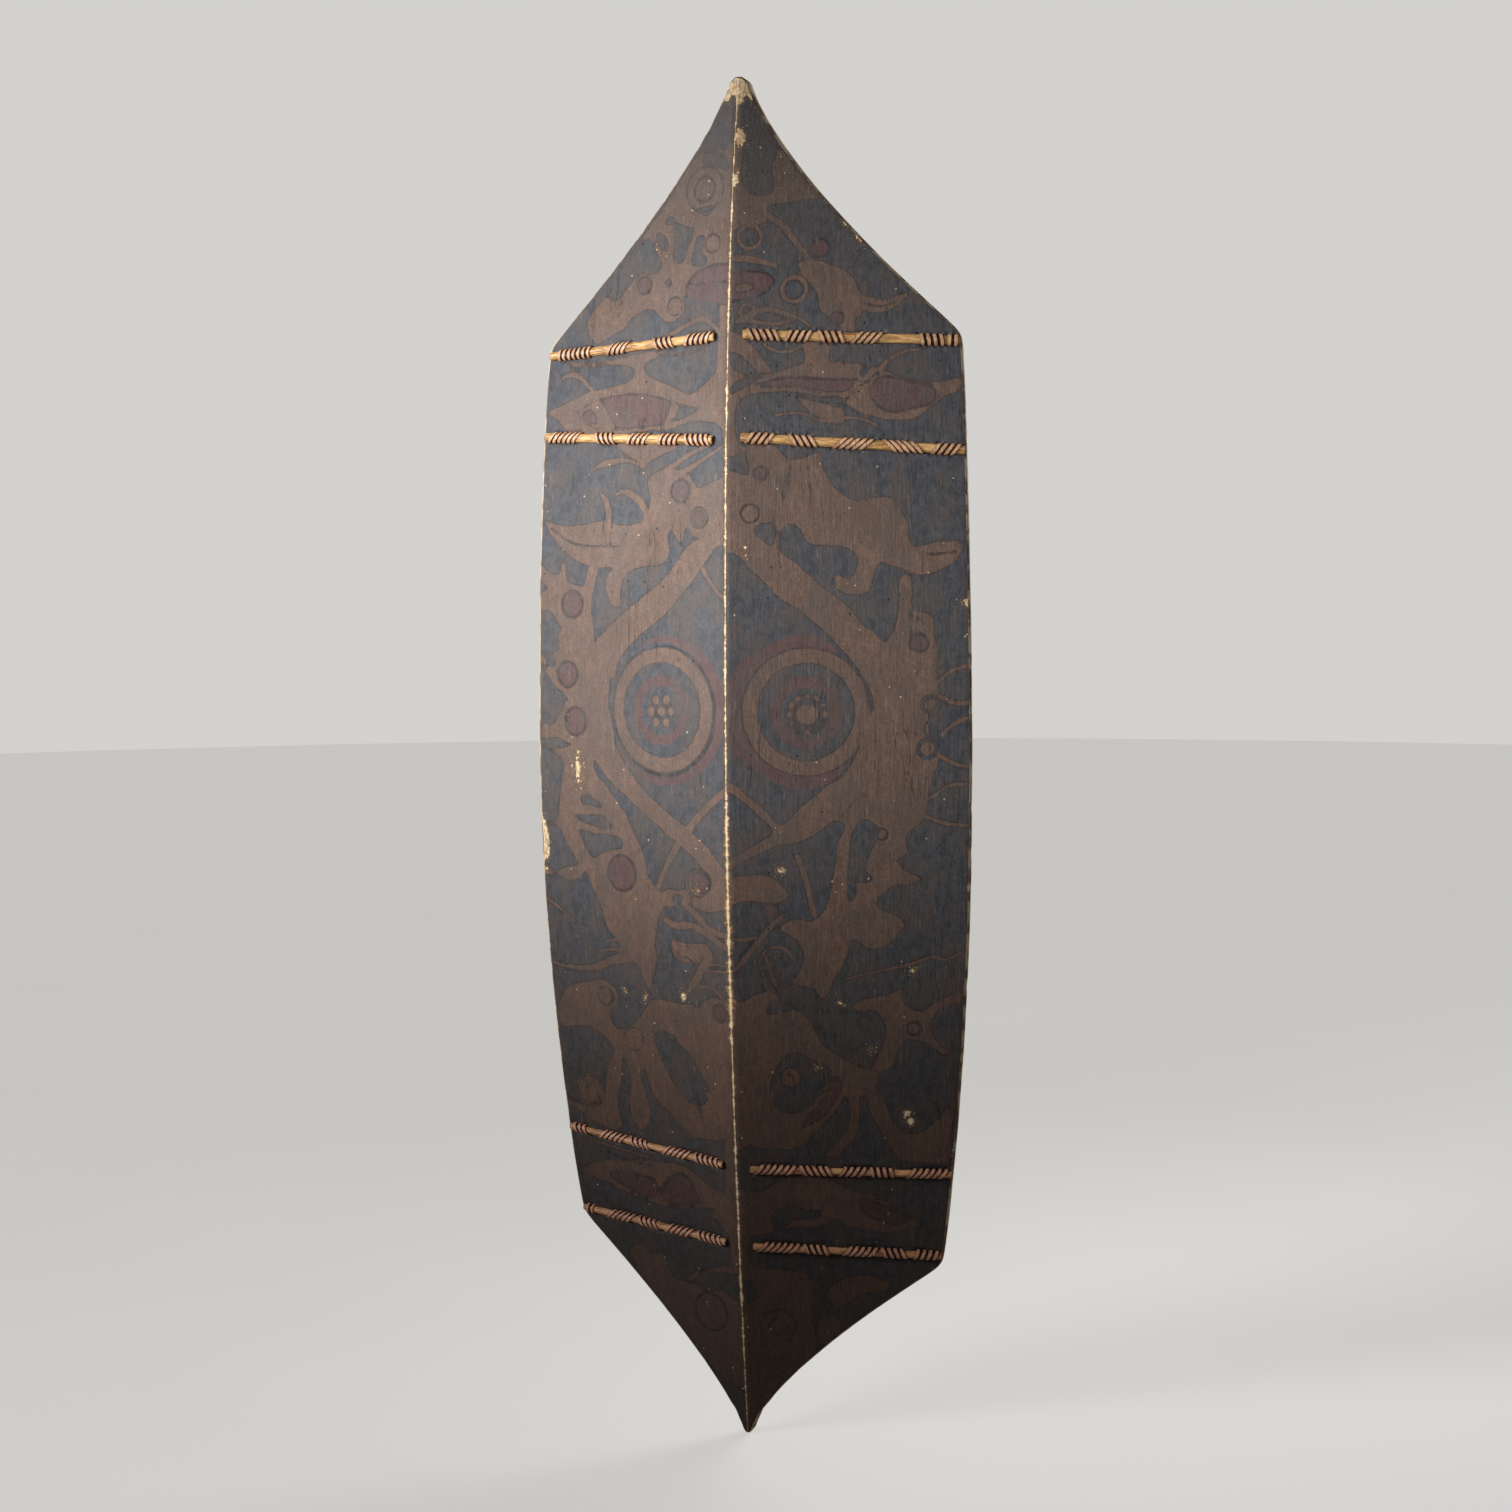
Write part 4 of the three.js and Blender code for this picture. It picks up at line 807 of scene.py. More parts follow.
class Cells:
    """Places sorted into square cells, so that the ones near a point are found quickly."""

    def __init__(self, size, places):
        self.size, self.cells = size, {}
        for place in places:
            self.add(place)

    def cell(self, place):
        return math.floor(place[0] / self.size), math.floor(place[1] / self.size)

    def add(self, place):
        self.cells.setdefault(self.cell(place), []).append(place)

    def near(self, place):
        u, v = self.cell(place)
        return (found for i in (-1, 0, 1) for j in (-1, 0, 1) for found in self.cells.get((u + i, v + j), ()))


def thinned(points, keep_away, least):
    """The points that lie at least a distance from those of keep_away and from one another."""
    taken, kept = Cells(least, keep_away), []
    for p in points:
        if all((p[0] - q[0])**2 + (p[1] - q[1])**2 >= least * least for q in taken.near(p)):
            kept.append(p)
            taken.add(p)
    return kept


def grid_points(step, margin):
    """Staggered points inside the outline, in x and z."""
    found = []
    rows = int(2 * HALF_LENGTH / (step * 0.87))
    for j in range(1, rows):
        z = -HALF_LENGTH + j * 2 * HALF_LENGTH / rows
        low, high = -float(half_width(z, -1)) + margin, float(half_width(z, 1)) - margin
        x = np.arange(math.ceil(low / step), high / step) * step + (j % 2) * step / 2
        found += [(v, z) for v in x if low < v < high and abs(v) > step * 0.45]
    return found


def clear_of(points, loops):
    """The points that lie in no hole."""
    reach_a, reach_b = HOLE_REACH
    holes = Cells(reach_a, [np.mean(loop, 0) for loop in loops])
    return [p for p in points
            if all(abs(p[0] - c[0]) > reach_a or abs(p[1] - c[1]) > reach_b for c in holes.near(p))]


def face_mesh(rim, loops, drawn, grid, apart, tops):
    """One face of the board: points of the drawn outlines first, then grid points between them."""
    fixed = [tuple(p) for line in (rim, *loops) for p in line]
    drawn = thinned(clear_of(drawn, loops), fixed, LEAST_GAP)
    grid = thinned(clear_of(grid, loops), fixed + drawn, apart)
    return meshed(rim, loops, drawn + grid, tops)


def strip(a, b):
    """Four-sided faces between two closed rows of points."""
    around = range(-len(a), 0)
    return [(a[i], a[i + 1], b[i + 1], b[i]) for i in around]


def make_board(settings, materials):
    """The plank: painted front, bare back, rounded rim and the strand's holes."""
    front_loops, back_loops = hole_loops()
    base = outline()
    chips = np.maximum(0, uneven(base[:, 1], 0.05, 3.1)) ** 3 * RIM_CHIPS
    far_side = 999 * (base[:, 0] > 0)
    wave = 0.5 * (1 + uneven(base[:, 1] + far_side, 0.02, 8.3))
    rim_line = inset(base, np.minimum(wave * RIM_WAVES + chips, RIM_WEAR_MOST))
    rounding = settings.rim_rounding / MM
    face_rim = inset(rim_line, rounding)

    edge_points = []
    for side, shapes in FACES.items():
        for shape in shapes:
            for s, z in shape.edge_points(settings.edge_step / MM):
                x = s / FACE_STRETCH
                if abs(z) < HALF_LENGTH - 4 and 1.5 < x * side < half_width(z, side) - 3:
                    edge_points.append((x, z))
    step = settings.grid_step / MM
    tops = np.linspace(-HALF_LENGTH + 3, HALF_LENGTH - 3, int(HALF_LENGTH))
    grid = grid_points(step, rounding + 2)
    flat, faces, place = face_mesh(face_rim, front_loops, edge_points, grid, step * 0.55, tops)
    x, z = flat.T
    hewn = np.array([noise.fractal(Vector((u * 0.02, w * 0.012, 1.7)), 1.0, 2.0, 3) for u, w in flat])
    worn_ridge = 0.5 + np.abs(uneven(z, 0.11, 5.5)) * RIDGE_WEAR_DEPTH
    worn_ridge *= np.exp(-(x / RIDGE_WEAR_WIDTH) ** 2)
    y = front_depth(x, z) + 0.5 * (hewn + 1) * settings.hew_depth / MM + worn_ridge
    colours = painted(x * FACE_STRETCH, z)

    # The back is coarser and has the same holes
    tops = np.linspace(-HALF_LENGTH + 4, HALF_LENGTH - 4, 160)
    grid = grid_points(BACK_STEP, rounding + 5)
    back_flat, back_faces, back_place = face_mesh(face_rim, back_loops, [], grid, BACK_STEP / 3, tops)
    bx, bz = back_flat.T
    adzed = np.array([noise.noise(Vector((u * 0.05, w * 0.02, 4.2))) for u, w in back_flat])
    by = back_depth(bx, bz) - ADZE_DEPTH * (adzed + 1) / 2
    count = len(flat)
    points = [np.stack([x, y, z], 1), np.stack([bx, by, bz], 1)]
    back_place = {old: new + count for old, new in back_place.items()}

    # Rows of points round the rim, from the painted face to the back
    rows = [[place[i] for i in range(len(face_rim))]]
    start = count + len(back_flat)
    rings = [(rounding * 0.3, 0.3 * rounding), (0, rounding)]
    for depth_of, sign in ((front_depth, 1), (back_depth, -1)):
        for amount, deep in rings[::sign]:
            ring = inset(rim_line, amount)
            points.append(np.stack([ring[:, 0], depth_of(*ring.T) + sign * deep, ring[:, 1]], 1))
            rows.append(range(start, start + len(ring)))
            start += len(ring)
    rows.append([back_place[i] for i in range(len(face_rim))])
    bare = [(d, a, b, c) for upper, lower in zip(rows, rows[1:]) for a, b, c, d in strip(lower, upper)]
    bare += [tuple(i + count for i in reversed(f)) for f in back_faces]
    for hole in range(len(front_loops)):
        corners = [len(face_rim) + len(HOLE_CORNERS) * hole + i for i in range(len(HOLE_CORNERS))]
        bare += strip([place[i] for i in corners], [back_place[i] for i in corners])

    points = np.vstack(points)
    board = mesh_object("painted_board", points, [*faces, *bare], materials)
    board.data.polygons.foreach_set("material_index", [0] * len(faces) + [1] * len(bare))
    for name, values in colours.items():
        store(board.data, name, np.concatenate([values, np.full(len(points) - count, -9.0)]))
    x, z = points[:, 0], points[:, 2]
    to_edge = np.where(x < 0, half_width(z, -1), half_width(z, 1))
    store(board.data, "rim", np.minimum(40, (to_edge - np.abs(x)) * 0.75))
    return board


class Tree:
    """Adds nodes to a tree in few words: a number or tuple sets an input, and a socket links to it."""

    def __init__(self, tree):
        self.tree = tree

    def add(self, kind, inputs=None, output=0, **settings):
        made = self.tree.nodes.new(kind)
        for name, value in settings.items():
            setattr(made, name, value)
        for key, value in (inputs or {}).items():
            if isinstance(value, bpy.types.NodeSocket):
                self.tree.links.new(value, made.inputs[key])
            elif value is not None:
                made.inputs[key].default_value = value
        return made.outputs[output] if made.outputs else made

    def math(self, operation, a, b=0.0):
        return self.add("ShaderNodeMath", {0: a, 1: b}, operation=operation)

    # The sums that are used most
    def times(self, a, b):
        return self.math("MULTIPLY", a, b)

    def plus(self, a, b):
        return self.math("ADD", a, b)

    def less(self, a, b):
        return self.math("SUBTRACT", a, b)

    def most(self, a, b):
        return self.math("MAXIMUM", a, b)

    def size(self, a):
        return self.math("ABSOLUTE", a)

    def step(self, value, low, high, to_low=0.0, to_high=1.0, kind="SMOOTHSTEP"):
        """From one number to another while the value goes from low to high."""
        return self.add("ShaderNodeMapRange", {0: value, 1: low, 2: high, 3: to_low, 4: to_high},
                        interpolation_type=kind)

    def mix(self, factor, a, b, blend="MIX"):
        return self.add("ShaderNodeMix", {0: factor, 6: rgba(a), 7: rgba(b)}, 2, data_type="RGBA",
                        blend_type=blend)

    def noise(self, vector, scale, detail=3.0, roughness=0.55, distortion=0.0):
        return self.add("ShaderNodeTexNoise", {"Vector": vector, "Scale": scale, "Detail": detail,
                        "Roughness": roughness, "Distortion": distortion})

    def cells(self, vector, scale):
        return self.add("ShaderNodeTexVoronoi", {"Vector": vector, "Scale": scale})

    def stretched(self, vector, scale, place=(0, 0, 0)):
        """The coordinates scaled and moved, so that what reads them is stretched."""
        return self.add("ShaderNodeMapping", {"Vector": vector, "Scale": scale, "Location": place})

    def attribute(self, name, output="Fac"):
        return self.add("ShaderNodeAttribute", output=output, attribute_name=name)

    def where(self):
        return self.add("ShaderNodeTexCoord", output="Object")

    def parts(self, vector):
        """The three coordinates of a vector."""
        return self.add("ShaderNodeSeparateXYZ", {0: vector}).node.outputs


def rgba(value):
    """A colour with its fourth number, or a number or socket as it is."""
    if isinstance(value, (int, float, bpy.types.NodeSocket)) or len(value) == 4:
        return value
    return (*value, 1.0)


def colour(red, green, blue):
    """A colour written as the screen shows it, from 0 to 255."""
    shares = (v / 255 for v in (red, green, blue))
    return tuple(v / 12.92 if v <= 0.04045 else ((v + 0.055) / 1.055) ** 2.4 for v in shares)


def scaled(value, by):
    return tuple(v * by for v in value[:3])


def new_material(name, show):
    material = bpy.data.materials.new(name)
    material.use_nodes = True
    material.node_tree.nodes.clear()
    material.diffuse_color = rgba(show)
    return material, Tree(material.node_tree)


def finished(t, base, roughness, height, strength, distance, specular=0.5):
    """Ends a material with its shader, its bump and its output."""
    bump = t.add("ShaderNodeBump", {"Strength": strength, "Distance": distance, "Height": height})
    shader = t.add("ShaderNodeBsdfPrincipled", {"Base Color": base, "Roughness": roughness,
                   "Normal": bump, "Specular IOR Level": specular})
    t.add("ShaderNodeOutputMaterial", {"Surface": shader})


def painted_wood(tones):
    """Old paint over grained wood. Scales are in waves per metre, and depths in millimetres."""
    material, t = new_material("painted_wood", tones.ground_colour)
    where = t.where()
    grain = t.noise(t.stretched(where, (1, 1, 0.07)), 620, 4, 0.65)
    scratch = t.noise(t.stretched(where, (1, 1, 0.11)), 360, 3, 0.6)
    vein = t.noise(t.stretched(where, (1, 1, 0.09), (5, 5, 5)), 95, 3, 0.6)
    blotch = t.noise(where, 10, 5, 0.65)
    patch = t.noise(t.stretched(where, (1, 1, 0.6)), 40, 5, 0.75)
    mottle = t.noise(t.stretched(where, (1, 1, 0.7), (2, 0, 5)), 160, 4, 0.7)
    fine = t.noise(where, 520, 3, 0.6)
    ragged = t.times(t.less(t.noise(where, 290, 4, 0.7), 0.5), 2.4)
    wander = t.times(t.less(t.noise(where, 85, 3, 0.6), 0.5), 2.6)
    edge = t.plus(ragged, wander)

    def mask(name, sharp=0.6):
        return t.step(t.plus(t.attribute(name), edge), -sharp, sharp)

    def varied(paint, dark=0.86, light=1.1):
        return t.mix(t.step(mottle, 0.4, 0.6), scaled(paint, dark), scaled(paint, light))

    # The paints, each with ragged edges
    worn_in = t.step(patch, 0.42, 0.66, 0.0, 0.5)
    ground = t.mix(worn_in, varied(tones.ground_colour, 0.8, 1.14), tones.worn_colour)
    figure = varied(tones.figure_colour, 0.84, 1.1)
    warm = t.times(t.step(t.plus(patch, t.times(blotch, 0.6)), 0.82, 0.98), 0.55)
    figure = t.mix(warm, figure, tones.warm_colour)
    paint = t.mix(mask("figure"), ground, figure)
    paint = t.mix(mask("accent"), paint, varied(tones.accent_colour))
    beside = t.step(t.size(t.plus(t.attribute("figure"), edge)), 1.0, 0.25)
    beside = t.times(beside, t.step(patch, 0.36, 0.6, 0.3, 0.8))
    thin = t.most(beside, t.times(mask("line", 0.35), 0.72))
    paint = t.mix(thin, paint, tones.line_colour)

    across, _, upright = t.parts(where)
    height = t.size(upright)

    # Thin, rubbed and cracked paint, and painted shade that darkens and warms it towards the bottom
    thinned_out = t.step(t.plus(patch, t.times(mottle, 0.4)), 0.6, 0.84, 0.0, 0.68)
    at_ends = t.step(height, 0.4, 0.54, 0.0, 0.55)
    paint = t.mix(t.most(thinned_out, at_ends), paint, tones.worn_colour)
    # Painted shade: darker and warmer below the middle
    shaded_below = t.step(t.plus(upright, t.times(blotch, 0.12)), 0.07, -0.27)
    paint = t.mix(shaded_below, paint, (0.68, 0.6, 0.55), "MULTIPLY")
    rubbed = t.times(t.step(scratch, 0.62, 0.72, 0.0, 0.34), t.step(patch, 0.42, 0.58))
    paint = t.mix(rubbed, paint, tones.dust_colour)
    scored = t.step(grain, 0.3, 0.7, 0.84, 1.14, "LINEAR")
    grit = t.step(fine, 0.3, 0.7, 0.82, 1.18, "LINEAR")
    paint = t.mix(1.0, paint, t.times(scored, grit), "MULTIPLY")
    split = t.step(t.size(t.less(vein, 0.5)), 0.012, 0.004)
    split = t.times(split, t.step(blotch, 0.53, 0.6, 0.0, 0.55))
    cracks = t.most(split, t.step(scratch, 0.29, 0.24, 0.0, 0.3))
    paint = t.mix(cracks, paint, tones.line_colour)

    # Bare wood at the ridge, the rim and the flakes
    from_ridge = t.times(t.size(across), 1000)
    lengthways = t.stretched(where, (0.5, 0.5, 1))
    width = t.step(t.noise(lengthways, 190, 5, 0.85), 0.34, 0.72, 0.0, 1.7)
    width = t.times(width, t.step(height, 0.44, 0.57, 1.0, 0.5))
    handled = t.times(t.step(upright, -0.01, -0.09), t.step(upright, -0.29, -0.19))
    width = t.times(width, t.plus(t.times(handled, 1.6), 1.0))
    width = t.times(width, t.step(t.noise(lengthways, 38, 4, 0.7), 0.38, 0.62, 0.3, 1.4))
    chips = t.step(t.noise(lengthways, 34, 5, 0.8), 0.58, 0.76, 0.0, 2.2)
    ridge = t.step(t.less(from_ridge, t.plus(width, chips)), 0.35, -0.35)
    worn = t.step(t.noise(where, 42, 5, 0.8), 0.57, 0.75, -0.6, 2.6)
    rim = t.step(t.less(t.attribute("rim"), worn), 0.4, -0.3)
    flake = t.plus(t.attribute("bare"), t.times(ragged, 3.4))
    spatter = t.times(t.step(t.noise(where, 640, 2, 0.5), 0.66, 0.7), t.step(flake, -9.0, -2.0, 0.0, 0.8))
    bare = t.most(t.most(ridge, rim), t.most(t.step(flake, 0.1, 0.5), spatter))
    worn_off = t.step(t.less(from_ridge, t.plus(width, chips)), 2.2, 0.1, 0.0, 0.75)
    worn_off = t.most(worn_off, t.step(flake, -2.5, 0.0, 0.0, 0.45))

    # Its colour, the stained paint beside it, and a painted highlight on its crest
    stain = t.mix(handled, scaled(tones.back_colour, 0.62), scaled(tones.golden_colour, 0.66))
    paint = t.mix(worn_off, paint, stain)
    splinter = t.noise(t.stretched(where, (1, 1, 0.4)), 560, 4, 0.7)
    wood = t.mix(t.step(splinter, 0.36, 0.52), scaled(tones.wood_colour, 0.3), tones.wood_colour)
    wood = t.mix(t.step(mottle, 0.5, 0.62, 0.0, 0.75), wood, tones.golden_colour)
    browned = t.times(handled, t.times(t.step(from_ridge, 0.7, 1.7), t.step(from_ridge, 8, 6)))
    wood = t.mix(t.times(browned, 0.85), wood, scaled(tones.golden_colour, 0.8))
    # Painted highlight: paler wood along the top of the ridge
    crest = t.step(t.less(from_ridge, t.times(width, 0.35)), 0.5, 0.1)
    crest = t.times(crest, t.step(fine, 0.3, 0.5, 0.6, 1.0))
    wood = t.mix(crest, wood, scaled(tones.wood_colour, 1.1))
    base = t.mix(bare, paint, wood)

    # Pale specks and dark pits
    cells = t.cells(where, 95.0)
    specks = t.times(t.step(cells, 0.085, 0.05), t.step(t.noise(where, 31, 2), 0.54, 0.58))
    base = t.mix(t.times(specks, 0.75), base, tones.wood_colour)
    pits = t.cells(t.stretched(where, (1, 1, 1), (3, 1, 2)), 70.0)
    pitted = t.times(t.step(pits, 0.085, 0.055), t.step(t.noise(where, 17, 2), 0.5, 0.56))
    base = t.mix(t.times(pitted, 0.9), base, tones.line_colour)

    roughness = t.step(t.plus(grain, blotch), 0.6, 1.4, 0.58, 0.72)
    relief = t.plus(t.times(grain, 0.7), t.times(fine, 0.35))
    relief = t.plus(relief, t.plus(t.times(patch, 1.2), t.times(scratch, 0.6)))
    relief = t.less(relief, t.times(bare, 0.9))
    sunk = t.plus(t.times(cracks, 0.9), t.times(thin, 0.3))
    relief = t.less(relief, t.plus(t.times(pitted, 1.4), sunk))
    finished(t, base, roughness, relief, 0.55, 0.0007, 0.28)
    return material


def bare_wood(tones):
    """Aged wood of the back and the grip, pale where the rim is worn."""
    material, t = new_material("bare_wood", tones.wood_colour)
    where = t.where()
    grain = t.noise(t.stretched(where, (1, 1, 0.04)), 420, 5, 0.65)
    wide = t.noise(t.stretched(where, (1, 1, 0.12)), 45, 3, 0.6, 0.6)
    base = t.mix(t.step(wide, 0.3, 0.7), tones.back_colour, scaled(tones.back_colour, 0.62))
    base = t.mix(t.times(t.step(grain, 0.55, 0.8), 0.5), base, scaled(tones.back_colour, 0.4))
    rim = t.step(t.attribute("rim"), 2.2, 0.2)
    base = t.mix(t.times(rim, t.step(t.noise(where, 60, 3), 0.45, 0.6)), base, tones.wood_colour)
    height = t.plus(grain, t.times(wide, 1.5))
    finished(t, base, t.step(grain, 0.2, 0.8, 0.5, 0.75), height, 0.5, 0.0008, 0.4)
    return material


def cane(name, base_colour, dark_colour, end_and_shade_colour, patch_low=0.35):
    """Split cane: long fibres along the piece's own first axis, a paler skin, dark cut ends and painted shade
    under and between strands.
    """
    material, t = new_material(name, base_colour)
    where = t.attribute("cane", "Vector")
    fibres = t.noise(t.stretched(where, (0.06, 1, 1)), 0.95, 5, 0.7)
    streaks = t.noise(t.stretched(where, (0.12, 1, 1), (7, 3, 1)), 0.7, 4, 0.75)
    lower = t.parts(t.where())[2]
    patches = t.noise(t.stretched(where, (0.22, 1, 1)), 0.16, 4, 0.6)
    base = t.mix(t.step(patches, patch_low, patch_low + 0.3), base_colour, dark_colour)
    base = t.mix(t.times(t.step(fibres, 0.52, 0.6), 0.8), base, scaled(dark_colour, 0.5))
    base = t.mix(t.times(t.step(streaks, 0.5, 0.58), 0.75), base, scaled(base_colour, 1.32))
    # Painted shade: the canes turn pinker and a little darker below the middle
    base = t.mix(t.step(lower, 0.0, -0.2), base, (1.0, 0.86, 0.96), "MULTIPLY")
    # Dark cut ends, and painted shade under the canes and between the strands
    base = t.mix(t.attribute("border"), base, end_and_shade_colour)
    finished(t, base, t.step(fibres, 0.2, 0.8, 0.36, 0.6), fibres, 0.6, 0.0005)
    return material


def plain_mesh(name, source, tree, values):
    """Runs a geometry node tree on a mesh and keeps the result as a plain mesh object."""
    holder = linked(name, source)
    modifier = holder.modifiers.new("Nodes", "NODES")
    modifier.node_group = tree
    sockets = {item.name: item.identifier for item in tree.interface.items_tree
               if item.item_type == "SOCKET" and item.in_out == "INPUT"}
    for key, value in values.items():
        modifier[sockets[key]] = value
    evaluated = holder.evaluated_get(bpy.context.evaluated_depsgraph_get())
    mesh = bpy.data.meshes.new_from_object(evaluated)
    bpy.data.objects.remove(holder)
    mesh.name = name
    return linked(name, mesh)


def node_group(name, sizes):
    """A geometry node group with its geometry sockets, its named sizes and its material."""
    group = bpy.data.node_groups.new(name, "GeometryNodeTree")
    for way in ("OUTPUT", "INPUT"):
        group.interface.new_socket("Geometry", in_out=way, socket_type="NodeSocketGeometry")
    for label, default in sizes.items():
        socket = group.interface.new_socket(label, in_out="INPUT", socket_type="NodeSocketFloat")
        socket.default_value = default
    group.interface.new_socket("Material", in_out="INPUT", socket_type="NodeSocketMaterial")
    return Tree(group), group.nodes.new("NodeGroupInput").outputs


def round_section(t, corners):
    """A circle of corners to shape into a section, and its two coordinates."""
    circle = t.add("GeometryNodeCurvePrimitiveCircle", {"Resolution": corners, "Radius": 1.0})
    return (circle, *t.parts(t.add("GeometryNodeInputPosition"))[:2])


def swept(t, path, normal, circle, up, across):
    """A closed solid along a path, whose section is the circle moved to its new places."""
    line = t.add("GeometryNodeSetCurveNormal", {"Curve": path, "Normal": normal}, mode="FREE")
    flat = t.add("ShaderNodeCombineXYZ", {0: up, 1: across})
    profile = t.add("GeometryNodeSetPosition", {"Geometry": circle, "Position": flat})
    return t.add("GeometryNodeCurveToMesh", {"Curve": line, "Profile Curve": profile, "Fill Caps": True})


def end_group(t, geometry, material):
    real = t.add("GeometryNodeRealizeInstances", {0: geometry})
    dressed = t.add("GeometryNodeSetMaterial", {"Geometry": real, "Material": material})
    t.add("NodeGroupOutput", {0: dressed})
    return t.tree


def lath_tree():
    """Split cane along +X, of a half-round section."""
    t, given = node_group("split_cane_lath", {"Length": 0.19, "Width": 0.009, "Height": 0.0042})
    end = t.add("ShaderNodeCombineXYZ", {0: given["Length"]})
    line = t.add("GeometryNodeCurvePrimitiveLine", {"End": end})
    line = t.add("GeometryNodeResampleCurve", {"Curve": line, "Count": 150})
    circle, up, across = round_section(t, 20)
    up = t.times(t.most(up, 0.0), given["Height"])
    across = t.times(across, t.times(given["Width"], 0.5))
    solid = swept(t, line, (0, 0, 1), circle, up, across)
    welded = t.add("GeometryNodeMergeByDistance", {"Geometry": solid, "Distance": 0.00002})
    return end_group(t, welded, given["Material"])


def strand_tree():
    """A flat strand along a path, its flat side square to the path's stored outward direction."""
    t, given = node_group("wound_strand", {"Width": 0.0035, "Thickness": 0.0014})
    path = t.add("GeometryNodeMeshToCurve", {"Mesh": given["Geometry"]})
    outward = t.add("GeometryNodeInputNamedAttribute", {"Name": "outward"}, data_type="FLOAT_VECTOR")
    circle, up, across = round_section(t, 16)
    # Painted shade along the strand's sides and underside
    border = t.most(t.step(t.size(across), 0.56, 0.78), t.step(up, 0.25, -0.05))
    circle = t.add("GeometryNodeStoreNamedAttribute", {"Geometry": circle, "Name": "border", "Value": border},
                   data_type="FLOAT", domain="POINT")

    def squared(value, size):
        shape = t.times(t.math("SIGN", value), t.math("POWER", t.size(value), 0.42))
        return t.times(shape, t.times(size, 0.5))

    solid = swept(t, path, outward, circle, squared(up, given["Thickness"]), squared(across, given["Width"]))
    return end_group(t, solid, given["Material"])


def seat_matrix(seat, back=False, gap=0.0):
    """From a lath's own axes, in millimetres, to the model's frame in metres."""
    along, across, out = seat.a, seat.b, seat.c
    origin = seat.start + seat.c * gap
    if back:
        near, far = seat.depth(0), seat.depth(seat.length)
        along = (seat.a * seat.length - seat.c * (far - near)).normalized()
        out = -(seat.c - along * seat.c.dot(along)).normalized()
        across = out.cross(along)
        origin = seat.start - seat.c * (near + gap)
    turn = Matrix((along, across, out)).transposed().to_4x4()
    return Matrix.Translation((origin - Vector((0, GRIP_CENTRE, 0))) * MM) @ turn


def places_of(mesh):
    places = np.empty(len(mesh.vertices) * 3)
    mesh.vertices.foreach_get("co", places)
    return places.reshape(-1, 3)


def make_lath(name, seat, tree, material, seed, back):
    """One lath: it swells and narrows a little, with worn ends, dark cut ends, painted shade along its
    underside and, in front, painted shade between the strands of its bindings.
    """
    piece = plain_mesh(name, bpy.data.meshes.new(name + "_seed"), tree, {
        "Length": seat.length * MM, "Width": seat.width * MM, "Height": LATH_HEIGHT * MM,
        "Material": material})
    mesh = piece.data
    bent = places_of(mesh)
    border = np.zeros(len(bent))
    for i, (u, v, w) in enumerate(bent):
        u_mm = u / MM
        swell = 1 + 0.07 * noise.noise(Vector((u_mm * 0.035, seed * 3.7, 0)))
        end = min(u_mm, seat.length - u_mm)
        rounded = 1 - 0.12 * math.exp(-end / 0.5)
        bent[i] = (u, v * swell * rounded, w * swell * rounded)
        # Dark cut ends, and painted shade along the underside where the lath sits on the board
        border[i] = 0.75 * math.exp(-((end / 0.9) ** 2)) + 0.5 * (w < 0.0004)
        share = 0.5 + v / MM / (2 * seat.hole_offset)
        # Painted shade on the lath between the strands of each binding
        for (foot, head), *_, (last_foot, last_head) in [] if back else seat.bindings:
            if foot + (head - foot) * share < u_mm < last_foot + (last_head - last_foot) * share:
                border[i] = 0.95
    mesh.vertices.foreach_set("co", bent.ravel())
    store(mesh, "border", np.minimum(border, 0.95))
    store(mesh, "cane", bent / MM + (seed * 40, 0, 0), "FLOAT_VECTOR")
    mesh.transform(seat_matrix(seat, back, SEAT_GAP))
    mesh.update()
    return piece


def strand_path(seat, steps=12):
    """The strand's middle line and its outward direction, in the lath's own axes."""
    offset = seat.hole_offset
    crest = SEAT_GAP + LATH_HEIGHT + STRAND_CLEARANCE + STRAND_THICKNESS / 2
    sunk = 0.2
    path = []

    def over(start, end, out, base_start, base_end):
        for i in range(steps + 1):
            t = math.pi * i / steps
            b = -out * offset * math.cos(t)
            share = (1 - math.cos(t)) / 2
            a = start + (end - start) * share
            lift = math.sin(t) ** 0.88 if 0 < i < steps else 0
            base = base_start + (base_end - base_start) * share
            normal = Vector((0, -out * math.cos(t) / offset, out * math.sin(t) / crest)).normalized()
            path.append((Vector((a, b, base + out * (sunk + (crest - sunk) * lift))), normal))

    def end(a, side):
        path.append((Vector((a, side * offset, -seat.depth(a) - STRAND_END)), Vector((0, side, 0))))

    end(seat.passes[0][0], -1)
    for one, following in zip(seat.passes, [*seat.passes[1:], None]):
        over(*one, 1, 0, 0)
        if following:
            over(one[1], following[0], -1, -seat.depth(one[1]), -seat.depth(following[0]))
    end(seat.passes[-1][1], 1)
    return path


def make_lashing(name, seat, tree, material, seed):
    """The strand that is wound round a pair of laths and through the board."""
    path = strand_path(seat)
    mesh = bpy.data.meshes.new(name + "_path")
    mesh.from_pydata([tuple(p * MM) for p, _ in path], [(i, i + 1) for i in range(len(path) - 1)], [])
    store(mesh, "outward", [tuple(n) for _, n in path], "FLOAT_VECTOR")
    piece = plain_mesh(name, mesh, tree, {
        "Width": STRAND_WIDTH * MM, "Thickness": STRAND_THICKNESS * MM, "Material": material})
    places = places_of(piece.data) / MM
    store(piece.data, "cane", places[:, (1, 0, 2)] + (seed * 31, 0, 0), "FLOAT_VECTOR")
    piece.data.transform(seat_matrix(seat))
    piece.data.shade_smooth()
    return piece


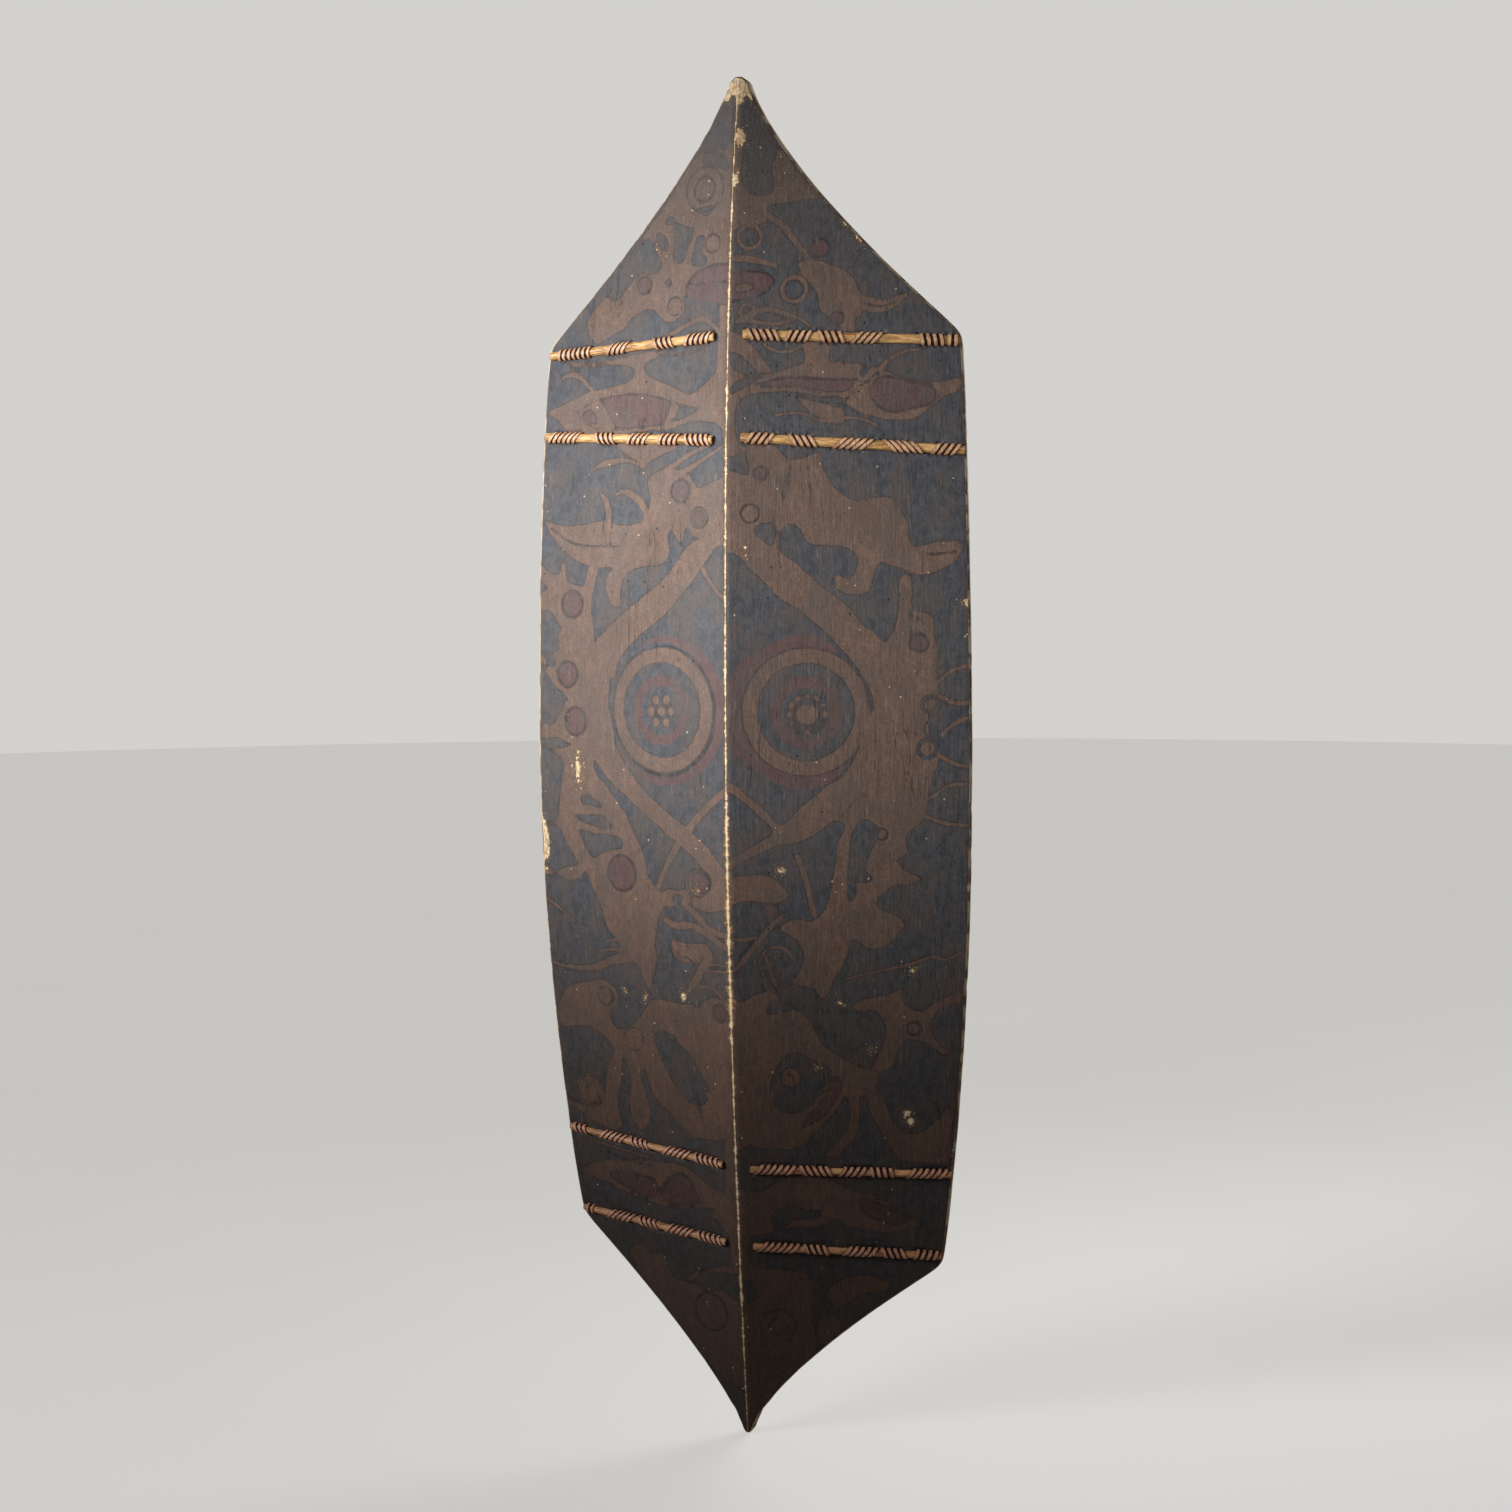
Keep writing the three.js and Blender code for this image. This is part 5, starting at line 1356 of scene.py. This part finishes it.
def grip_profile(steps=10):
    """Side view of the grip, as depth and height."""
    top = GRIP_LENGTH / 2
    opening = top - GRIP_POST
    rear = GRIP_INNER + GRIP_BAR
    root = RIDGE_THICKNESS - GRIP_ROOT

    def bend(start, control, end):
        t = (np.arange(1, steps + 1) / steps)[:, None]
        a, b, c = (np.array(p, float) for p in (start, control, end))
        return ((1 - t) ** 2 * a + 2 * t * (1 - t) * b + t**2 * c).tolist()

    upper = [(root, top + GRIP_FLARE)]
    upper += bend(upper[-1], (GRIP_INNER, top), (rear - GRIP_ROUNDING, top - GRIP_FLARE))
    upper += bend(upper[-1], (rear, top - GRIP_FLARE), (rear, opening))
    upper += [(rear, opening * k / 6) for k in range(5, 0, -1)]
    inner = [(root, opening + GRIP_FLARE)]
    inner += bend(inner[-1], (GRIP_INNER, opening), (GRIP_INNER, opening - GRIP_FLARE))
    inner += [(GRIP_INNER, (opening - GRIP_FLARE) * k / 6) for k in range(5, 0, -1)]
    outer_loop = upper + [(rear, 0)] + [(y, -z) for y, z in reversed(upper)]
    inner_loop = inner + [(GRIP_INNER, 0)] + [(y, -z) for y, z in reversed(inner)]
    return np.array(outer_loop + inner_loop[::-1], float)


def make_grip(material):
    """The upright grip: its side view carried across, with rounded arrises."""
    profile = grip_profile()
    rings = []
    turns = np.radians(np.linspace(90, 0, 5))
    half = GRIP_WIDTH / 2 - GRIP_ROUNDING
    for x, t in [(-1, t) for t in turns] + [(1, t) for t in turns[::-1]]:
        # The profile runs clockwise, so it moves in by less than nothing
        loop = inset(profile, -GRIP_ROUNDING * (1 - math.cos(t)))
        place = x * (half + GRIP_ROUNDING * math.sin(t))
        rings.append(np.column_stack([np.full(len(loop), place), loop]))
    count = len(profile)
    rows = [range(r * count, (r + 1) * count) for r in range(len(rings))]
    faces = [face for a, b in zip(rows, rows[1:]) for face in strip(a, b)]
    cap = tessellate_polygon([[Vector((y, z, 0)) for y, z in rings[0][:, 1:]]])
    faces += [tuple(t) for t in cap] + [tuple(rows[-1][i] for i in reversed(t)) for t in cap]
    grip = mesh_object("carved_grip", np.vstack(rings), faces, [material])
    store(grip.data, "rim", np.full(len(grip.data.vertices), 40.0))
    outwards(grip.data)
    return grip


def outwards(mesh):
    """Turns a closed mesh's faces outwards."""
    work = bmesh.new()
    work.from_mesh(mesh)
    bmesh.ops.remove_doubles(work, verts=work.verts, dist=1e-6)
    bmesh.ops.recalc_face_normals(work, faces=work.faces)
    work.to_mesh(mesh)
    work.free()


def fine_length(name, description, default, low, high):
    return bpy.props.FloatProperty(name=name, description=description, default=default, min=low, max=high,
                                   unit="LENGTH", precision=4)


def tone(name, description, red, green, blue):
    return bpy.props.FloatVectorProperty(name=name, description=description, subtype="COLOR",
                                         default=colour(red, green, blue), min=0, max=1)


def lamp_power(name, description, default):
    return bpy.props.FloatProperty(name=name, description=description, default=default, min=0, max=500,
                                   unit="POWER")


def lamp_spread(name, description, degrees):
    return bpy.props.FloatProperty(name=name, description=description, default=math.radians(degrees),
                                   min=0.1, max=math.pi, subtype="ANGLE")


class BoardSettings(bpy.types.PropertyGroup):
    grid_step: fine_length("Mesh step", "Spacing of the painted face's mesh", 0.003, 0.002, 0.01)
    edge_step: fine_length("Outline step", "Spacing along the painted outlines", 0.0019, 0.001, 0.01)
    rim_rounding: fine_length("Rim rounding", "How far the rim is worn round", 0.0014, 0.0003, 0.003)
    hew_depth: fine_length("Hewing depth", "Depth of the tool's waves on the face", 0.0003, 0, 0.001)
    ground_colour: tone("Ground", "Dark paint between the figures", 71, 72, 77)
    figure_colour: tone("Figures", "Brown paint of the figures", 108, 87, 76)
    accent_colour: tone("Accents", "Dull red paint", 92, 70, 68)
    line_colour: tone("Lines", "Thin dark lines and cracks", 42, 37, 38)
    warm_colour: tone("Warm places", "Brown paint gone orange with age", 122, 88, 62)
    worn_colour: tone("Worn paint", "Where the paints wear into one", 84, 76, 72)
    dust_colour: tone("Rubbed places", "Paint rubbed to the wood", 134, 126, 118)
    wood_colour: tone("Bare wood", "Pale wood at ridge and rim", 226, 202, 164)
    golden_colour: tone("Golden wood", "Bare wood darkened by touch", 166, 124, 76)
    back_colour: tone("Back", "Aged bare wood of the back", 134, 101, 74)


class CaneSettings(bpy.types.PropertyGroup):
    lath_colour: tone("Laths", "Skin of the split canes", 212, 168, 110)
    lath_shade: tone("Lath fibres", "Darker fibres and stains", 150, 104, 58)
    strand_colour: tone("Strand", "Skin of the strand", 204, 160, 122)
    strand_shade: tone("Strand fibres", "Darker fibres of the strand", 160, 112, 84)
    # Colour of the canes' dark cut ends and of their painted shade
    end_and_shade_colour: tone("Borders", "Dark maroon borders and cut ends", 58, 18, 16)


class StageSettings(bpy.types.PropertyGroup):
    backdrop_colour: tone("Backdrop", "Pale floor and backdrop", 226, 224, 221)
    key_power: lamp_power("Key light", "Power of the main lamp", 4.1)
    front_power: lamp_power("Front light", "Power of the lamp in front", 0.55)
    rear_power: lamp_power("Rear light", "Power of the lamp behind", 3.4)
    key_spread: lamp_spread("Key spread", "How wide the main lamp's light spreads", 44)
    front_spread: lamp_spread("Front spread", "How wide the front light spreads", 32)
    rear_spread: lamp_spread("Rear spread", "How wide the rear light spreads", 60)
    fill_strength: bpy.props.FloatProperty(name="Fill", description="Strength of the light all round",
                                           default=0.11, min=0, max=2)


# Each lamp: side in metres, place and what it points at. The camera: turn, rise and roll in degrees,
# focal length as the photograph's pixels, what it looks at in millimetres, and distance in metres
LAMPS = {
    "key": (0.7, (-1.33, -1.08, 0.52), (-0.08, -0.05, 0.22)),
    "front": (0.3, (-0.35, -1.7, 0.4), (0.0, -0.05, 0.2)),
    "rear": (1.0, (0.9, 2.1, 0.8), (0.0, 0.0, 0.1)),
}
CAMERA_ANGLES = (17.5, 4.5, -0.35)
CAMERA_LENGTH = 2296.2
PHOTO_WIDTH = 1512
SENSOR_WIDTH = 36
LOOKED_AT = (28.2, -GRIP_CENTRE, 17.6)
CAMERA_DISTANCE = 2.0
FLOOR_RADIUS = 9
FLOOR_CORNERS = 48


def add_camera():
    turn, rise, roll = (math.radians(angle) for angle in CAMERA_ANGLES)
    back = Vector((math.sin(turn) * math.cos(rise), -math.cos(turn) * math.cos(rise), math.sin(rise)))
    right = Vector((math.cos(turn), math.sin(turn), 0))
    axes = Matrix((right, back.cross(right), back)).transposed().to_4x4()
    data = bpy.data.cameras.new("camera")
    data.sensor_width = SENSOR_WIDTH
    data.lens = CAMERA_LENGTH / PHOTO_WIDTH * SENSOR_WIDTH
    camera = linked("camera", data)
    place = Vector(LOOKED_AT) * MM + back * CAMERA_DISTANCE
    camera.matrix_world = Matrix.Translation(place) @ axes @ Matrix.Rotation(roll, 4, "Z")
    bpy.context.scene.camera = camera


def add_lamps(settings):
    for name, (size, place, target) in LAMPS.items():
        light = bpy.data.lights.new(name, "AREA")
        light.shape = "RECTANGLE"
        light.size = light.size_y = size
        light.energy = getattr(settings, name + "_power")
        light.spread = getattr(settings, name + "_spread")
        lamp = linked(name, light)
        lamp.visible_camera = False
        aim = (Vector(target) - Vector(place)).to_track_quat("-Z", "Y").to_matrix().to_4x4()
        lamp.matrix_world = Matrix.Translation(place) @ aim


def add_floor(shade):
    """The pale floor, seen at one level all over, which still keeps the shadow."""
    material, t = new_material("pale_floor", shade)
    seen = t.add("ShaderNodeLightPath", output="Is Camera Ray")
    cloth_colour = t.mix(t.noise(t.where(), 3.0, 2), shade, scaled(shade, 0.97))
    cloth = t.add("ShaderNodeBsdfDiffuse", {"Color": t.mix(0.2, cloth_colour, (0, 0, 0))})
    glow = t.add("ShaderNodeEmission", {"Color": cloth_colour, "Strength": t.times(seen, 0.7)})
    t.add("ShaderNodeOutputMaterial", {"Surface": t.add("ShaderNodeAddShader", {0: cloth, 1: glow})})
    ring = on_circle((0, 0), FLOOR_RADIUS, np.arange(FLOOR_CORNERS) * 2 * math.pi / FLOOR_CORNERS)
    height = np.full(FLOOR_CORNERS, CAD_BOX[0][2] - 0.0005)
    mesh = bpy.data.meshes.new("floor")
    mesh.from_pydata(np.column_stack([ring, height]).tolist(), [], [list(range(FLOOR_CORNERS))])
    mesh.materials.append(material)
    linked("floor", mesh)


def add_world(shade, fill):
    world = bpy.data.worlds.new("studio")
    world.use_nodes = True
    world.node_tree.nodes.clear()
    t = Tree(world.node_tree)
    seen = t.add("ShaderNodeLightPath", output="Is Camera Ray")
    strength = t.step(seen, 0.0, 1.0, fill, 0.86)
    sky = t.add("ShaderNodeBackground", {"Color": rgba(shade), "Strength": strength})
    t.add("ShaderNodeOutputWorld", {"Surface": sky})
    bpy.context.scene.world = world


def give_place(piece, node):
    """Hides the node that a piece stands in for, and hangs the piece on the shield's body."""
    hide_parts(node)
    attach(piece, BODY)


class SHIELD_OT_stage(bpy.types.Operator):
    """Adds the camera, the lamps, the pale floor and the world"""
    bl_idname = "shield.stage"
    bl_label = "Stage"

    def execute(self, context):
        settings = context.scene.shield_stage
        context.scene.view_settings.view_transform = "Standard"
        shade = tuple(settings.backdrop_colour)
        add_camera()
        add_lamps(settings)
        add_floor(shade)
        add_world(shade, settings.fill_strength)
        return {"FINISHED"}


class SHIELD_OT_board(bpy.types.Operator):
    """Makes the painted board and the grip carved behind it"""
    bl_idname = "shield.board"
    bl_label = "Board and grip"

    def execute(self, context):
        settings = context.scene.shield_board
        wood = bare_wood(settings)
        board = make_board(settings, [painted_wood(settings), wood])
        for piece in (board, make_grip(wood)):
            give_place(piece, "board")
        return {"FINISHED"}


class SHIELD_OT_laths(bpy.types.Operator):
    """Makes the split-cane laths in front of the board and behind it"""
    bl_idname = "shield.laths"
    bl_label = "Laths"

    def execute(self, context):
        settings = context.scene.shield_cane
        material = cane("split_cane", settings.lath_colour, settings.lath_shade, settings.end_and_shade_colour)
        tree = lath_tree()
        for i, (row, seat) in enumerate(SEATS.items()):
            for prefix, back in (("front_lath_", False), ("back_lath_", True)):
                piece = make_lath(prefix + row + "_cane", seat, tree, material, 2 * i + back, back)
                give_place(piece, prefix + row)
        return {"FINISHED"}


class SHIELD_OT_lashings(bpy.types.Operator):
    """Winds the cane strands that sew each pair of laths on"""
    bl_idname = "shield.lashings"
    bl_label = "Lashings"

    def execute(self, context):
        settings = context.scene.shield_cane
        material = cane("cane_strand", settings.strand_colour, settings.strand_shade, settings.end_and_shade_colour,
                        0.45)
        tree = strand_tree()
        for i, (row, seat) in enumerate(SEATS.items()):
            piece = make_lashing("strand_" + row, seat, tree, material, i)
            give_place(piece, "lashing_" + row)
        return {"FINISHED"}


OPERATORS = (SHIELD_OT_stage, SHIELD_OT_board, SHIELD_OT_laths, SHIELD_OT_lashings)
SETTINGS = {"shield_board": BoardSettings, "shield_cane": CaneSettings, "shield_stage": StageSettings}


class SHIELD_PT_build(bpy.types.Panel):
    """Lists the shield's sizes, colours and steps"""
    bl_idname = "SHIELD_PT_build"
    bl_label = "Shield"
    bl_space_type = "VIEW_3D"
    bl_region_type = "UI"
    bl_category = "Shield"

    def draw(self, context):
        for name, group in SETTINGS.items():
            box = self.layout.box()
            for key in group.__annotations__:
                box.prop(getattr(context.scene, name), key)
        for operator in OPERATORS:
            self.layout.operator(operator.bl_idname)


def register():
    for item in (*SETTINGS.values(), *OPERATORS, SHIELD_PT_build):
        bpy.utils.register_class(item)
    for name, group in SETTINGS.items():
        setattr(bpy.types.Scene, name, bpy.props.PointerProperty(type=group))


def unregister():
    for name in SETTINGS:
        delattr(bpy.types.Scene, name)
    for item in reversed((*SETTINGS.values(), *OPERATORS, SHIELD_PT_build)):
        bpy.utils.unregister_class(item)


def main():
    register()
    bpy.ops.shield.stage()
    bpy.ops.shield.board()
    bpy.ops.shield.laths()
    bpy.ops.shield.lashings()


if __name__ == "__main__":
    main()
